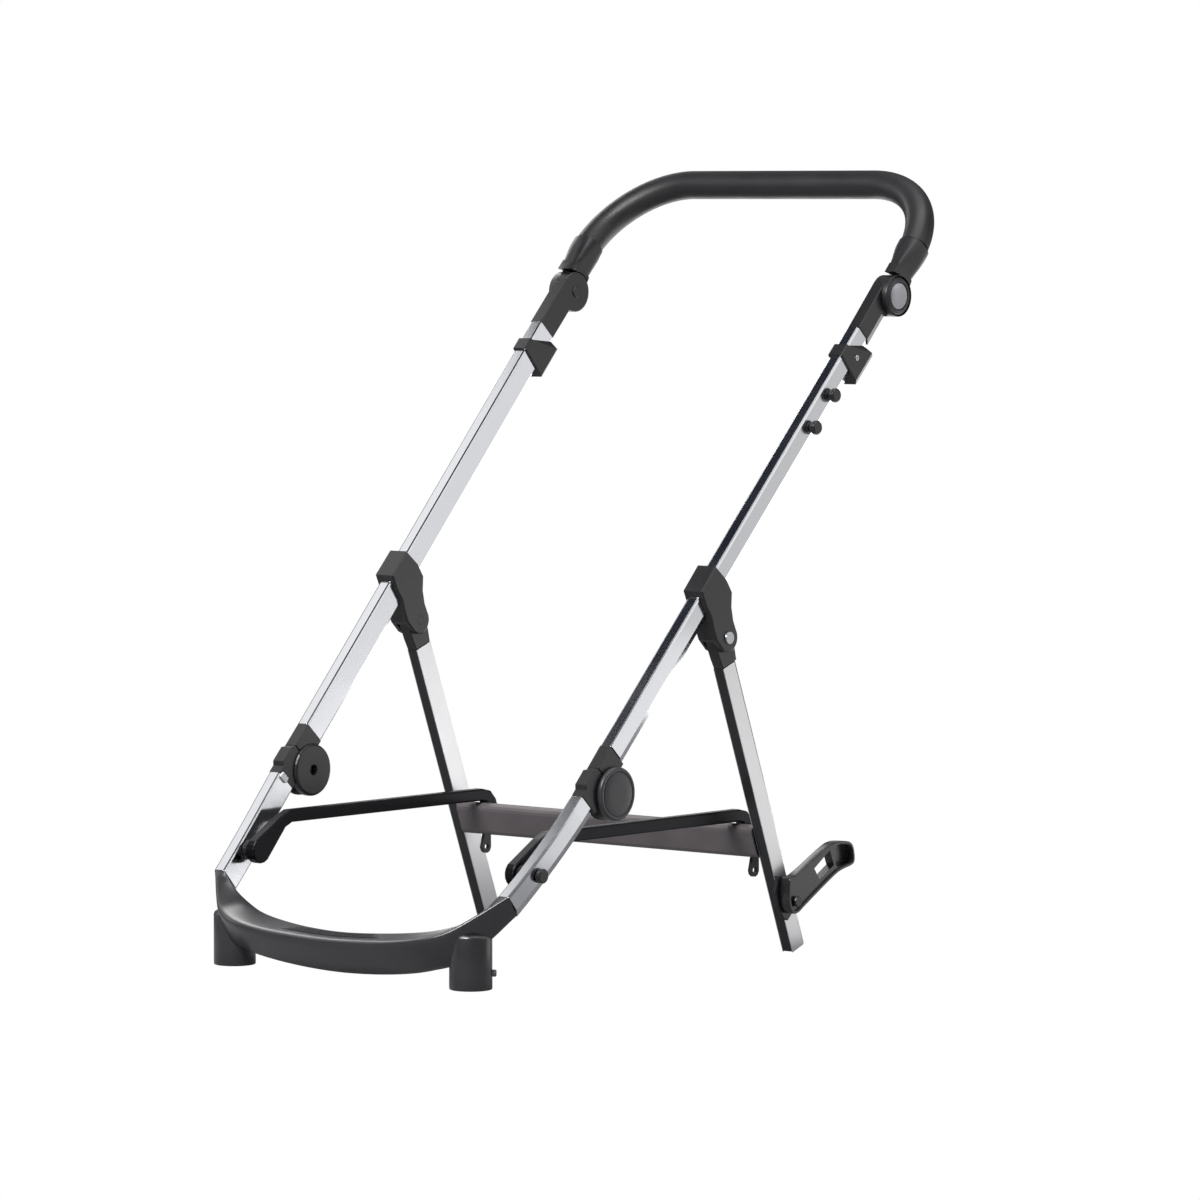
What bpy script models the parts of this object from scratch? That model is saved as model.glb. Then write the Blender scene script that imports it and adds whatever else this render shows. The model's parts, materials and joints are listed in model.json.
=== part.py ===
"""Folding stroller frame: an assembly of separate pieces, built in millimetres and stored in metres.

Z is up, the footrest arch points to -Y and the handle to +Y. The stroller's left side is +X.
Pieces on the upper rails are drawn in a rail frame: w across, u along the rail, v behind its front face.
"""
import math

import bmesh
import bpy
from mathutils import Matrix, Vector

MM = 0.001
ORIGIN_Y = 202.55
GAP = 0.3

# Upper rails
RAIL_SLOPE = math.radians(46.8)
RAIL_START_HEIGHT = 261.4
RAIL_LENGTH = 633.2
RAIL_WIDTH = 16.5
RAIL_DEPTH = 31.0
RAIL_EDGE = 2.5
RAIL_WALL = 1.8
RAIL_CHAMFER_START = 20.5
RAIL_CHAMFER_END = 2.75
RAIL_HALF_TRACK = 230.5
RAIL_SPLAY = 0.0194

# Fold hubs
HUB_U = -35.4
HUB_V = 40.8
HUB_SEAM = -32.0
HUB_LOWER_END = -72.5
HUB_HUMP_LOW = -63.0
HUB_HUMP_HIGH = -34.5
HUB_HUMP_PROUD = 4.0
HUB_DRUM_RADIUS = 30.5
HUB_CORE_RADIUS = 27.5
HUB_LUG_RADIUS = 9.3
HUB_LAP = 2.0
HUB_DRUM_DEPTH = 5.0
HUB_OUTER_PROUD = 6.0
HUB_INNER_PROUD = 3.5
HUB_PIN_RADIUS = 5.0
ADAPTER_HOLE_RADIUS = 6.4
INSET_CIRCLE_RADIUS = 25.7
SPIGOT_LENGTH = 24.0

# Lower rails
LOWER_LENGTH = 150.0
LOWER_END_SLOPE = math.radians(41.0)
LOWER_END_TRACK = 215.3
LOWER_STATIONS = 8

# Front arch and its wheel sockets
ARCH_SPIGOT = 22.0
SOCKET_TRACK = 179.0
SOCKET_Y = -171.0
SOCKET_RADIUS = 24.0
SOCKET_HEIGHT = 58.0
SOCKET_BELL_RADIUS = 19.5
SOCKET_BELL_DEPTH = 14.0
STEM_BORE_RADIUS = 7.0
STEM_BORE_HEIGHT = 44.0
RELEASE_HEIGHT = 18.0
RELEASE_RADIUS = 4.0
RELEASE_PROUD = 4.5
RELEASE_TURN = math.radians(40.0)
TREAD_RIBS = 4
TREAD_RIB_PITCH = 31.0
TREAD_RIB_WIDTH = 3.2
TREAD_RIB_PROUD = 1.1

# Leg brackets, legs and crossbar
LEG_PIVOT_U = 215.5
LEG_PIVOT_V = 66.5
BRACKET_WALL = 6.0
BRACKET_LOW = 220.0
BRACKET_HIGH = 260.0
BRACKET_FRONT = -7.0
FORK_RADIUS = 17.0
FORK_CHEEK = 5.0
LEG_TRACK = 234.0
LEG_LEAN = math.radians(20.9)
LEG_WIDTH = 15.0
LEG_DEPTH = 26.0
LEG_WALL = 1.6
LEG_CHAMFER = 5.0
LEG_TOP = 34.0
STRIP_WIDTH = 12.4
STRIP_DEPTH = 1.5
LEG_PIN_RADIUS = 5.0
CROSSBAR_TOP = 149.3
CROSSBAR_HEIGHT = 40.0
CROSSBAR_DEPTH = 15.0
CROSSBAR_SETBACK = -3.5
CROSSBAR_EDGE = 6.6
CROSSBAR_WALL = 2.0

# Struts between the lower rails and the crossbar
STRUT_LEG_SPACE = 23.0
STRUT_RAIL_SPACE = 8.9
STRUT_WIDTH = 13.5
STRUT_HEIGHT = 14.5
STRUT_LINE_RISE = 11.4
STRUT_FOOT_DISTANCE = 103.0
STRUT_FOOT_DEPTH = 15.2
STRUT_FOOT_RADIUS = 15.0
STRUT_HOOK_DROP = 17.0
STRUT_HOOK_GAP = 4.2
ANCHOR_THICKNESS = 4.0
ANCHOR_HOLE_Y = 296.0
ANCHOR_HOLE_Z = 96.0
ANCHOR_HOLE_RADIUS = 3.6
PLUG_RADIUS = 8.2
PLUG_PROUD = 6.0
BOSS_RADIUS = 12.0

# Fold triggers, studs and handle joints
TRIGGER_LOW = 588.0
TRIGGER_HIGH = 604.0
TRIGGER_SIDE_HIGH = 627.0
TRIGGER_WALL = 2.6
TRIGGER_WING = 44.0
STUD_STATIONS = (492.0, 542.0)
STUD_V = 17.0
STUD_RADIUS = 8.3
STUD_LENGTH = 9.5
SLEEVE_LOW = 633.5
HANDLE_U = 705.0
HANDLE_V = 24.5
EYE_RADIUS = 24.5
EYE_LAP = 3.0
HANDLE_DRUM_PROUD = 7.6
HANDLE_DRUM_RADIUS = 23.5
ARM_INNER_SIDE = -1.0
HANDLE_PIN_RADIUS = 5.0
BUTTON_RADIUS = 16.0
BUTTON_TRAVEL = 3.0
ARM_LENGTH = 70.0
ARM_FRONT_RELIEF = 50

# Handlebar
BAR_REACH = 170.0
BAR_V = 15.2
BAR_HALF_WIDTH = 250.5
BAR_CORNER = 112.0
CORNER_STEPS = 7
GRIP_RADIUS = 17.5
HANDLE_TUBE_RADIUS = 11.0
HANDLE_TUBE_WALL = 1.5

# Brake pedal on the left leg
PEDAL_PIVOT_Y = 307.6
PEDAL_PIVOT_Z = 62.3
PEDAL_STANDOFF = 6.1
PEDAL_INNER = LEG_TRACK + LEG_WIDTH / 2 + PEDAL_STANDOFF
PEDAL_WIDTH = 14.0


def clear_scene():
    for item in list(bpy.data.objects):
        bpy.data.objects.remove(item, do_unlink=True)


def material(name, red, green, blue, roughness, metallic=0.0):
    """One Principled material per finish, made once and reused by name."""
    found = bpy.data.materials.get(name)
    if found:
        return found
    made = bpy.data.materials.new(name)
    made.use_nodes = True
    shader = made.node_tree.nodes["Principled BSDF"]
    shader.inputs["Base Color"].default_value = (red, green, blue, 1.0)
    shader.inputs["Roughness"].default_value = roughness
    shader.inputs["Metallic"].default_value = metallic
    made.diffuse_color = (red, green, blue, 1.0)
    return made


def anodised_aluminium():
    return material("anodised_aluminium", 0.62, 0.62, 0.63, 0.32, 1.0)


def black_plastic():
    return material("black_plastic", 0.025, 0.025, 0.027, 0.38)


def grip_leather():
    return material("grip_leather", 0.02, 0.02, 0.022, 0.5)


def grey_plastic():
    return material("grey_plastic", 0.1, 0.1, 0.106, 0.4)


def white_plastic():
    return material("white_plastic", 0.8, 0.8, 0.8, 0.4)


def steel():
    return material("steel", 0.42, 0.42, 0.43, 0.35, 1.0)


def rail_yz(u, v):
    """Side view place of a point u along the upper rail and v behind its front face."""
    y = u * math.cos(RAIL_SLOPE) + v * math.sin(RAIL_SLOPE)
    z = RAIL_START_HEIGHT + u * math.sin(RAIL_SLOPE) - v * math.cos(RAIL_SLOPE)
    return y, z


def rail_x(u):
    return RAIL_HALF_TRACK + RAIL_SPLAY * u


def rail_xyz(w, u, v):
    y, z = rail_yz(u, v)
    return rail_x(u) + w, y, z


HUB_TRACK = rail_x(HUB_U)
HANDLE_TRACK = rail_x(HANDLE_U)
HUB_Y, HUB_Z = rail_yz(HUB_U, HUB_V)
LEG_Y, LEG_Z = rail_yz(LEG_PIVOT_U, LEG_PIVOT_V)
HANDLE_Y, HANDLE_Z = rail_yz(HANDLE_U, HANDLE_V)


def leg_yz(s, t):
    """Side view place of a point s down the leg from its pivot and t in front of its centreline."""
    y = LEG_Y + s * math.sin(LEG_LEAN) - t * math.cos(LEG_LEAN)
    z = LEG_Z - s * math.cos(LEG_LEAN) - t * math.sin(LEG_LEAN)
    return y, z


def leg_station(z, t):
    """How far down the leg the line t in front of its centre reaches the height z."""
    return (LEG_Z - t * math.sin(LEG_LEAN) - z) / math.cos(LEG_LEAN)


LEG_END = leg_station(0.0, LEG_DEPTH / 2)
CROSSBAR_LOW = leg_station(CROSSBAR_TOP, LEG_DEPTH / 2)
CROSSBAR_BACK = LEG_DEPTH / 2 - CROSSBAR_SETBACK - CROSSBAR_DEPTH
STRUT_REAR_T = CROSSBAR_BACK - STRUT_HOOK_GAP - STRUT_HEIGHT / 2
STRUT_REAR_Y, STRUT_REAR_Z = leg_yz(CROSSBAR_LOW + STRUT_HOOK_DROP, STRUT_REAR_T)
STRUT_LINE = CROSSBAR_TOP + STRUT_LINE_RISE


def arc(cx, cy, radius, start, end, steps):
    """Points of an arc from start to end, in degrees."""
    points = []
    for i in range(steps + 1):
        angle = math.radians(start + (end - start) * i / steps)
        points.append((cx + radius * math.cos(angle), cy + radius * math.sin(angle)))
    return points


def loft(bm, rings, caps=True, closed=False):
    """Skin a row of rings that have the same number of points."""
    loops = [[bm.verts.new(point) for point in ring] for ring in rings]
    pairs = list(zip(loops, loops[1:]))
    if closed:
        pairs.append((loops[-1], loops[0]))
    for low, high in pairs:
        for i in range(len(low)):
            j = (i + 1) % len(low)
            bm.faces.new((low[i], low[j], high[j], high[i]))
    if caps and not closed:
        bm.faces.new(list(reversed(loops[0])))
        bm.faces.new(loops[-1])
    return loops


def shell(bm, outer, inner):
    """A tube with a wall: an outer and an inner skin, joined at both open ends."""
    outer_loops = loft(bm, outer, caps=False)
    inner_loops = loft(bm, inner, caps=False)
    for a, b in ((outer_loops[0], inner_loops[0]), (outer_loops[-1], inner_loops[-1])):
        for i in range(len(a)):
            j = (i + 1) % len(a)
            bm.faces.new((a[i], a[j], b[j], b[i]))


def plate(bm, outline, low, high, bevel=0.0, place=None, segments=1):
    """Extrude a closed side view outline across X, then round its rims."""
    if place:
        rings = [[place(w, a, b) for a, b in outline] for w in (low, high)]
    else:
        rings = [[(w, a, b) for a, b in outline] for w in (low, high)]
    loops = loft(bm, rings)
    if bevel > 0:
        bmesh.ops.recalc_face_normals(bm, faces=bm.faces)
        rims = []
        for loop in loops:
            for i, vert in enumerate(loop):
                rims.append(bm.edges.get((vert, loop[(i + 1) % len(loop)])))
        bmesh.ops.bevel(bm, geom=rims, offset=bevel, segments=segments, profile=0.5,
                        affect="EDGES", material=-1, clamp_overlap=True)


def turned(bm, profile, y, z, segments=24):
    """Turn a profile of (x, radius) points about an axis along X at (y, z)."""
    rings = []
    for x, radius in profile:
        rings.append([(x, y + radius * math.cos(a), z + radius * math.sin(a))
                      for a in (2 * math.pi * (i + 0.5) / segments for i in range(segments))])
    return loft(bm, rings)


def turned_ring(bm, profile, y, z, segments=24):
    """Turn a closed profile of (x, radius) points, none on the axis, about an axis along X."""
    rings = []
    for x, radius in profile:
        rings.append([(x, y + radius * math.cos(a), z + radius * math.sin(a))
                      for a in (2 * math.pi * (i + 0.5) / segments for i in range(segments))])
    return loft(bm, rings, closed=True)


def upright(bm, profile, x, y, segments=24):
    """Turn a profile of (z, radius) points about a vertical axis at (x, y)."""
    rings = []
    for z, radius in profile:
        rings.append([(x + radius * math.cos(a), y + radius * math.sin(a), z)
                      for a in (2 * math.pi * i / segments for i in range(segments))])
    return loft(bm, rings)


def finish(name, bm, finish_material, pivot=(0.0, 0.0, 0.0), side=1, cutter=False):
    """Close a piece: mirror it for the right side, store it in metres with its origin at the pivot."""
    bmesh.ops.recalc_face_normals(bm, faces=bm.faces)
    if bm.calc_volume(signed=True) < 0:
        bmesh.ops.reverse_faces(bm, faces=bm.faces)
    origin = Vector((side * pivot[0], pivot[1] - ORIGIN_Y if pivot[1] else 0.0, pivot[2])) * MM
    for vert in bm.verts:
        place = Vector((side * vert.co.x, vert.co.y - ORIGIN_Y, vert.co.z)) * MM
        vert.co = place - origin
    if side < 0:
        bmesh.ops.reverse_faces(bm, faces=bm.faces)
    mesh = bpy.data.meshes.new(name)
    bm.to_mesh(mesh)
    bm.free()
    mesh.shade_smooth()
    mesh.set_sharp_from_angle(angle=math.radians(32))
    item = bpy.data.objects.new(name, mesh)
    item.location = origin
    bpy.context.scene.collection.objects.link(item)
    if cutter:
        item.hide_render = True
        item.display_type = "WIRE"
    else:
        mesh.materials.append(finish_material)
    return item


def boolean(item, tool, operation="DIFFERENCE"):
    """Cut or join a piece with a hidden tool shape."""
    step = item.modifiers.new(operation.lower() + "_" + tool.name, "BOOLEAN")
    step.object = tool
    step.operation = operation
    step.solver = "EXACT"


def sides():
    return ((1, "left"), (-1, "right"))


def rail_section(inset=0.0):
    """Points (w, v) of the rail's section: four rounded corners, with one cut off behind and outside."""
    half = RAIL_WIDTH / 2 - inset
    rear = RAIL_DEPTH - inset
    edge = max(RAIL_EDGE - inset, 0.7)
    points = arc(-half + edge, inset + edge, edge, 180, 270, 2)
    points += arc(half - edge, inset + edge, edge, 270, 360, 2)
    points.append((half, RAIL_CHAMFER_START - 0.3 * inset))
    points.append((RAIL_CHAMFER_END - 0.6 * inset, rear))
    points += arc(-half + edge, rear - edge, edge, 90, 180, 2)
    return points


def rail_ring(u, inset=0.0, place=rail_xyz):
    return [place(w, u, v) for w, v in rail_section(inset)]


def upper_rail(side, tag):
    bm = bmesh.new()
    stations = (GAP, RAIL_LENGTH)
    shell(bm, [rail_ring(u) for u in stations], [rail_ring(u, RAIL_WALL) for u in stations])
    finish("upper_rail_" + tag, bm, anodised_aluminium(), side=side)


def lower_station(s):
    """Track, side view place and heading of the lower rail's front edge, s down from the hub."""
    start_y, start_z = rail_yz(HUB_LOWER_END - GAP, 0.0)
    start_track = rail_x(HUB_LOWER_END)
    turn = (LOWER_END_SLOPE - RAIL_SLOPE) / LOWER_LENGTH
    heading = RAIL_SLOPE + turn * s
    y = start_y - (math.sin(heading) - math.sin(RAIL_SLOPE)) / turn
    z = start_z + (math.cos(heading) - math.cos(RAIL_SLOPE)) / turn
    share = max(s, 0.0) / LOWER_LENGTH
    track = start_track + (LOWER_END_TRACK - start_track) * share ** 1.3
    return track, y, z, heading


def lower_path():
    return [lower_station(LOWER_LENGTH * i / LOWER_STATIONS) for i in range(LOWER_STATIONS + 1)]


def lower_yz(s, v):
    """Side view place of a point s down the lower rail and v behind its front edge."""
    track, y, z, heading = lower_station(s)
    return y + v * math.sin(heading), z - v * math.cos(heading)


STRUT_FRONT_Y, STRUT_FRONT_Z = lower_yz(STRUT_FOOT_DISTANCE, STRUT_FOOT_DEPTH)
STRUT_OUTER = min(LEG_TRACK - LEG_WIDTH / 2 - STRUT_LEG_SPACE,
                  lower_station(STRUT_FOOT_DISTANCE)[0] - RAIL_WIDTH / 2 - STRUT_RAIL_SPACE)
STRUT_INNER = STRUT_OUTER - STRUT_WIDTH


def lower_ring(station, inset=0.0):
    track, y, z, heading = station
    return [(track + w, y + v * math.sin(heading), z - v * math.cos(heading)) for w, v in rail_section(inset)]


def lower_rail(side, tag):
    bm = bmesh.new()
    path = lower_path()
    shell(bm, [lower_ring(s) for s in path], [lower_ring(s, RAIL_WALL) for s in path])
    finish("lower_rail_" + tag, bm, anodised_aluminium(), side=side)


def hub_xyz(w, u, v):
    y, z = rail_yz(u, v)
    return HUB_TRACK + w, y, z


def spigot_tool(name, low, high, place, side):
    bm = bmesh.new()
    inset = RAIL_WALL + GAP
    loft(bm, [rail_ring(low, inset, place), rail_ring(high, inset, place)])
    return finish(name, bm, None, side=side, cutter=True)


def knuckle_bore(name, track, y, z, radius, side, reach=12.0, segments=20):
    bm = bmesh.new()
    turned(bm, [(track - reach, radius), (track + reach, radius)], y, z, segments)
    return finish(name, bm, None, side=side, cutter=True)


def hub_drum_tool(name, side):
    """Room for the inner drum: its circle, cut into the inner side of both halves."""
    bm = bmesh.new()
    half = RAIL_WIDTH / 2
    turned(bm, [(HUB_TRACK - half - 3.0, HUB_DRUM_RADIUS + GAP),
                (HUB_TRACK - half + HUB_DRUM_DEPTH + GAP, HUB_DRUM_RADIUS + GAP)], HUB_Y, HUB_Z, 40)
    return finish(name, bm, None, side=side, cutter=True)


def hub_lap_tool(name, low, high, side):
    """Room for the other half's lug, between two distances across the rail."""
    bm = bmesh.new()
    radius = HUB_LUG_RADIUS + GAP
    turned(bm, [(HUB_TRACK + low, radius), (HUB_TRACK + high, radius)], HUB_Y, HUB_Z, 28)
    return finish(name, bm, None, side=side, cutter=True)


def hub_lower(side, tag):
    """Lower half of the fold hub: a block with a raised front, a plug in the rail and a lug behind."""
    bm = bmesh.new()
    half = RAIL_WIDTH / 2
    seam = HUB_SEAM - GAP
    lug_end = math.degrees(math.acos((seam - HUB_U) / HUB_LUG_RADIUS))
    outline = [(HUB_LOWER_END, 0.0), (HUB_LOWER_END, RAIL_DEPTH), (HUB_U - 2 * HUB_LUG_RADIUS, RAIL_DEPTH)]
    outline += arc(HUB_U, HUB_V, HUB_LUG_RADIUS, 160, -lug_end, 10)
    outline += [(seam, 0.0), (HUB_HUMP_HIGH, 0.0), (HUB_HUMP_HIGH - HUB_HUMP_PROUD, -HUB_HUMP_PROUD),
                (HUB_HUMP_LOW + HUB_HUMP_PROUD, -HUB_HUMP_PROUD), (HUB_HUMP_LOW, 0.0)]
    plate(bm, outline, -half, half, 0.8, hub_xyz)
    body = finish("hub_lower_" + tag, bm, black_plastic(), (HUB_TRACK, HUB_Y, HUB_Z), side)
    boolean(body, hub_drum_tool("tool_hub_lower_drum_" + tag, side))
    boolean(body, hub_lap_tool("tool_hub_lower_lap_" + tag, -half - 1.0, HUB_LAP + GAP, side))
    plug = bmesh.new()
    loft(plug, [lower_ring(lower_station(s), RAIL_WALL + GAP) for s in (-4.0, 8.0, 16.0, SPIGOT_LENGTH)])
    boolean(body, finish("tool_hub_lower_plug_" + tag, plug, None, side=side, cutter=True), "UNION")
    bore = knuckle_bore("tool_hub_lower_bore_" + tag, HUB_TRACK, HUB_Y, HUB_Z, HUB_PIN_RADIUS + GAP, side)
    boolean(body, bore)


def hub_upper(side, tag):
    """Upper half of the fold hub: a plug on the upper rail that widens behind it to the core of the drums."""
    bm = bmesh.new()
    half = RAIL_WIDTH / 2
    rise = HUB_SEAM + GAP - HUB_U
    lug_start = math.degrees(math.acos(rise / HUB_LUG_RADIUS))
    core_start = math.degrees(math.acos(rise / HUB_CORE_RADIUS))
    core_end = math.degrees(math.asin((HUB_V - RAIL_DEPTH) / HUB_CORE_RADIUS))
    outline = [(0.0, RAIL_DEPTH), (0.0, 0.0), (HUB_SEAM + GAP, 0.0)]
    outline += arc(HUB_U, HUB_V, HUB_LUG_RADIUS, -lug_start, -360 + lug_start, 12)
    outline += arc(HUB_U, HUB_V, HUB_CORE_RADIUS, core_start, -core_end, 8)
    plate(bm, outline, -half, half, 0.8, hub_xyz)
    body = finish("hub_upper_" + tag, bm, black_plastic(), (HUB_TRACK, HUB_Y, HUB_Z), side)
    boolean(body, hub_drum_tool("tool_hub_upper_drum_" + tag, side))
    boolean(body, hub_lap_tool("tool_hub_upper_lap_" + tag, HUB_LAP, half + 1.0, side))
    tool = spigot_tool("tool_hub_upper_spigot_" + tag, -3.0, SPIGOT_LENGTH, rail_xyz, side)
    boolean(body, tool, "UNION")
    bore = knuckle_bore("tool_hub_upper_bore_" + tag, HUB_TRACK, HUB_Y, HUB_Z, HUB_PIN_RADIUS + GAP, side)
    boolean(body, bore)


def hub_outer_cap(side, tag):
    """Round outer cover of the fold hub, with a thin ring groove in its bare face."""
    bm = bmesh.new()
    near = HUB_TRACK + RAIL_WIDTH / 2 + GAP
    face = near + HUB_OUTER_PROUD
    pocket = HUB_PIN_RADIUS + GAP
    profile = [(near + 2.8, pocket), (near, pocket), (near, HUB_DRUM_RADIUS - 0.8),
               (near + 0.8, HUB_DRUM_RADIUS), (face - 3.2, HUB_DRUM_RADIUS),
               (face - 1.2, HUB_DRUM_RADIUS - 0.9),
               (face, HUB_DRUM_RADIUS - 3.0), (face, INSET_CIRCLE_RADIUS + 0.5),
               (face - 0.8, INSET_CIRCLE_RADIUS), (face, INSET_CIRCLE_RADIUS - 0.5)]
    turned(bm, profile, HUB_Y, HUB_Z, 32)
    finish("hub_outer_cap_" + tag, bm, grey_plastic(), (HUB_TRACK, HUB_Y, HUB_Z), side)


def hub_inner_cap(side, tag):
    """Seat adapter drum let into the inner side of the fold hub, with a hole through its middle."""
    bm = bmesh.new()
    near = HUB_TRACK - RAIL_WIDTH / 2 + HUB_DRUM_DEPTH
    face = HUB_TRACK - RAIL_WIDTH / 2 - HUB_INNER_PROUD
    profile = [(near, ADAPTER_HOLE_RADIUS), (near, HUB_DRUM_RADIUS), (face + 2.6, HUB_DRUM_RADIUS),
               (face + 0.8, HUB_DRUM_RADIUS - 0.9), (face, HUB_DRUM_RADIUS - 2.8),
               (face, ADAPTER_HOLE_RADIUS)]
    turned_ring(bm, profile, HUB_Y, HUB_Z, 32)
    finish("hub_inner_cap_" + tag, bm, black_plastic(), (HUB_TRACK, HUB_Y, HUB_Z), side)


def hub_pin(side, tag):
    bm = bmesh.new()
    near = HUB_TRACK - RAIL_WIDTH / 2 + HUB_DRUM_DEPTH - 1.0
    far = HUB_TRACK + RAIL_WIDTH / 2 + GAP + 2.5
    turned(bm, [(near, HUB_PIN_RADIUS), (far, HUB_PIN_RADIUS)], HUB_Y, HUB_Z, 20)
    finish("hub_pin_" + tag, bm, steel(), (HUB_TRACK, HUB_Y, HUB_Z), side)


def hub_latch(side, tag):
    """White lock piece on the inner side of the lower half, with three square teeth."""
    bm = bmesh.new()
    base = rail_x(HUB_LOWER_END) - HUB_TRACK - RAIL_WIDTH / 2 - 2 * GAP
    foot = HUB_LOWER_END - 4.0
    root = HUB_LOWER_END + 1.0
    outline = [(foot, 2.0), (root, 2.0)]
    for i in range(3):
        start = 2.6 + 4.2 * i
        outline += [(root, start), (root + 2.0, start + 0.3), (root + 2.0, start + 2.7), (root, start + 3.0)]
    outline += [(root, 14.6), (foot, 14.6)]
    plate(bm, outline, base - 2.2, base, 0.0, hub_xyz)
    finish("hub_latch_" + tag, bm, white_plastic(), (HUB_TRACK, HUB_Y, HUB_Z), side)


def arch_stations():
    """Corners of the arch's section from the middle outwards: lip, tread back, wall foot, keel."""
    return [
        ((0.0, -225.4, 46.0), (0.0, -186.0, 52.6), (0.0, -180.0, 7.0), (0.0, -187.0, 4.0)),
        ((50.0, -225.2, 47.0), (50.0, -185.0, 54.5), (50.0, -179.5, 8.5), (50.0, -186.5, 5.6)),
        ((100.0, -224.6, 50.8), (100.0, -176.0, 58.0), (99.0, -176.0, 13.5), (101.0, -188.0, 11.0)),
        ((140.0, -220.5, 57.0), (136.0, -169.5, 63.5), (133.0, -169.0, 22.0), (141.0, -190.0, 18.5)),
        ((172.0, -207.0, 66.5), (166.0, -162.0, 73.0), (162.0, -159.0, 33.0), (172.0, -186.0, 28.0)),
        ((196.0, -186.0, 83.0), (188.0, -160.0, 86.0), (186.0, -149.0, 56.0), (200.0, -166.0, 52.0)),
    ]


def arch_rings():
    """Sections of the arch, bent smoothly through its stations, for the left half."""
    rows = arch_stations()
    track, y, z, heading = lower_station(LOWER_LENGTH + GAP)
    dy, dz = math.sin(heading), -math.cos(heading)
    half = RAIL_WIDTH / 2
    end = ((track + half, y, z), (track - half, y, z),
           (track - half, y + dy * RAIL_DEPTH, z + dz * RAIL_DEPTH),
           (track + RAIL_CHAMFER_END, y + dy * RAIL_DEPTH, z + dz * RAIL_DEPTH))
    rows = rows + [end]
    rings = []
    for i in range(len(rows) - 1):
        for k in range(2):
            rings.append([spline(rows, i, k / 2, corner) for corner in range(4)])
    rings.append([Vector(point) for point in end])
    return rings


def spline(rows, i, t, corner):
    """Point on a smooth curve through one corner of all stations."""
    p1, p2 = Vector(rows[i][corner]), Vector(rows[i + 1][corner])
    if i:
        p0 = Vector(rows[i - 1][corner])
    else:
        mirrored = rows[1][corner]
        p0 = Vector((-mirrored[0], mirrored[1], mirrored[2]))
    p3 = Vector(rows[i + 2][corner]) if i + 2 < len(rows) else p2 + (p2 - p1)
    return 0.5 * (2 * p1 + (p2 - p0) * t + (2 * p0 - 5 * p1 + 4 * p2 - p3) * t ** 2
                  + (3 * p1 - p0 - 3 * p2 + p3) * t ** 3)


def rounded_ring(corners, radii):
    """Round each corner of a four-sided section with a short arc of three points."""
    ring = []
    for i, corner in enumerate(corners):
        before = (corners[i - 1] - corner).normalized()
        after = (corners[(i + 1) % 4] - corner).normalized()
        reach = radii[i]
        start = corner + before * reach
        finish_point = corner + after * reach
        middle = corner + (before + after) * reach * 0.32
        ring += [start, middle, finish_point]
    return ring


def front_arch():
    """Moulded arch: a footrest with a light lip, and a wheel socket on each side."""
    bm = bmesh.new()
    half_rings = []
    sections = arch_rings()
    last = len(sections) - 1
    for i, corners in enumerate(sections):
        share = (i / last) ** 3
        radii = [6.0 + (RAIL_EDGE - 6.0) * share, 4.0 + (RAIL_EDGE - 4.0) * share, 2.5, 2.5]
        half_rings.append(rounded_ring(corners, radii))
    mirrored = [[Vector((-p.x, p.y, p.z)) for p in ring] for ring in half_rings[1:]]
    rings = [list(ring) for ring in reversed(mirrored)] + half_rings
    loft(bm, [[tuple(p) for p in ring] for ring in rings])
    arch = finish("front_arch", bm, black_plastic())
    boolean(arch, tread_ribs(), "UNION")
    for side, tag in sides():
        spigot = bmesh.new()
        stations = (LOWER_LENGTH + 4.0, LOWER_LENGTH, LOWER_LENGTH - ARCH_SPIGOT / 2,
                    LOWER_LENGTH - ARCH_SPIGOT)
        loft(spigot, [lower_ring(lower_station(s), RAIL_WALL + GAP) for s in stations])
        boolean(arch, finish("tool_arch_spigot_" + tag, spigot, None, side=side, cutter=True), "UNION")
        post = bmesh.new()
        upright(post, [(0.0, SOCKET_RADIUS - 1.0), (1.0, SOCKET_RADIUS), (SOCKET_HEIGHT, SOCKET_RADIUS),
                       (SOCKET_HEIGHT + 4.0, SOCKET_RADIUS - 6.0)], SOCKET_TRACK, SOCKET_Y, 28)
        boolean(arch, finish("tool_socket_" + tag, post, None, side=side, cutter=True), "UNION")
        bell = bmesh.new()
        upright(bell, [(-2.0, SOCKET_BELL_RADIUS), (SOCKET_BELL_DEPTH, SOCKET_BELL_RADIUS),
                       (SOCKET_BELL_DEPTH, STEM_BORE_RADIUS), (STEM_BORE_HEIGHT, STEM_BORE_RADIUS)],
                SOCKET_TRACK, SOCKET_Y, 20)
        boolean(arch, finish("tool_socket_bore_" + tag, bell, None, side=side, cutter=True))
        window = bmesh.new()
        turned(window, [(SOCKET_TRACK + SOCKET_BELL_RADIUS - 3.0, RELEASE_RADIUS + GAP),
                        (SOCKET_TRACK + SOCKET_RADIUS + 4.0, RELEASE_RADIUS + GAP)],
               SOCKET_Y, RELEASE_HEIGHT, 12)
        turn_to_release(window)
        boolean(arch, finish("tool_release_hole_" + tag, window, None, side=side, cutter=True))


def tread_ribs():
    """Low ribs across the footrest's tread that stop a foot from slipping."""
    bm = bmesh.new()
    for i in range(TREAD_RIBS):
        x = TREAD_RIB_PITCH * (i - (TREAD_RIBS - 1) / 2)
        rise = 1.45 * (x / 50.0) ** 2
        low, high = 47.1 + rise, 51.6 + rise
        outline = [(-219.0, low - 1.5), (-192.0, high - 1.5), (-192.0, high + TREAD_RIB_PROUD),
                   (-219.0, low + TREAD_RIB_PROUD)]
        plate(bm, outline, x - TREAD_RIB_WIDTH / 2, x + TREAD_RIB_WIDTH / 2)
    return finish("tool_tread_ribs", bm, None, cutter=True)


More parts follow.
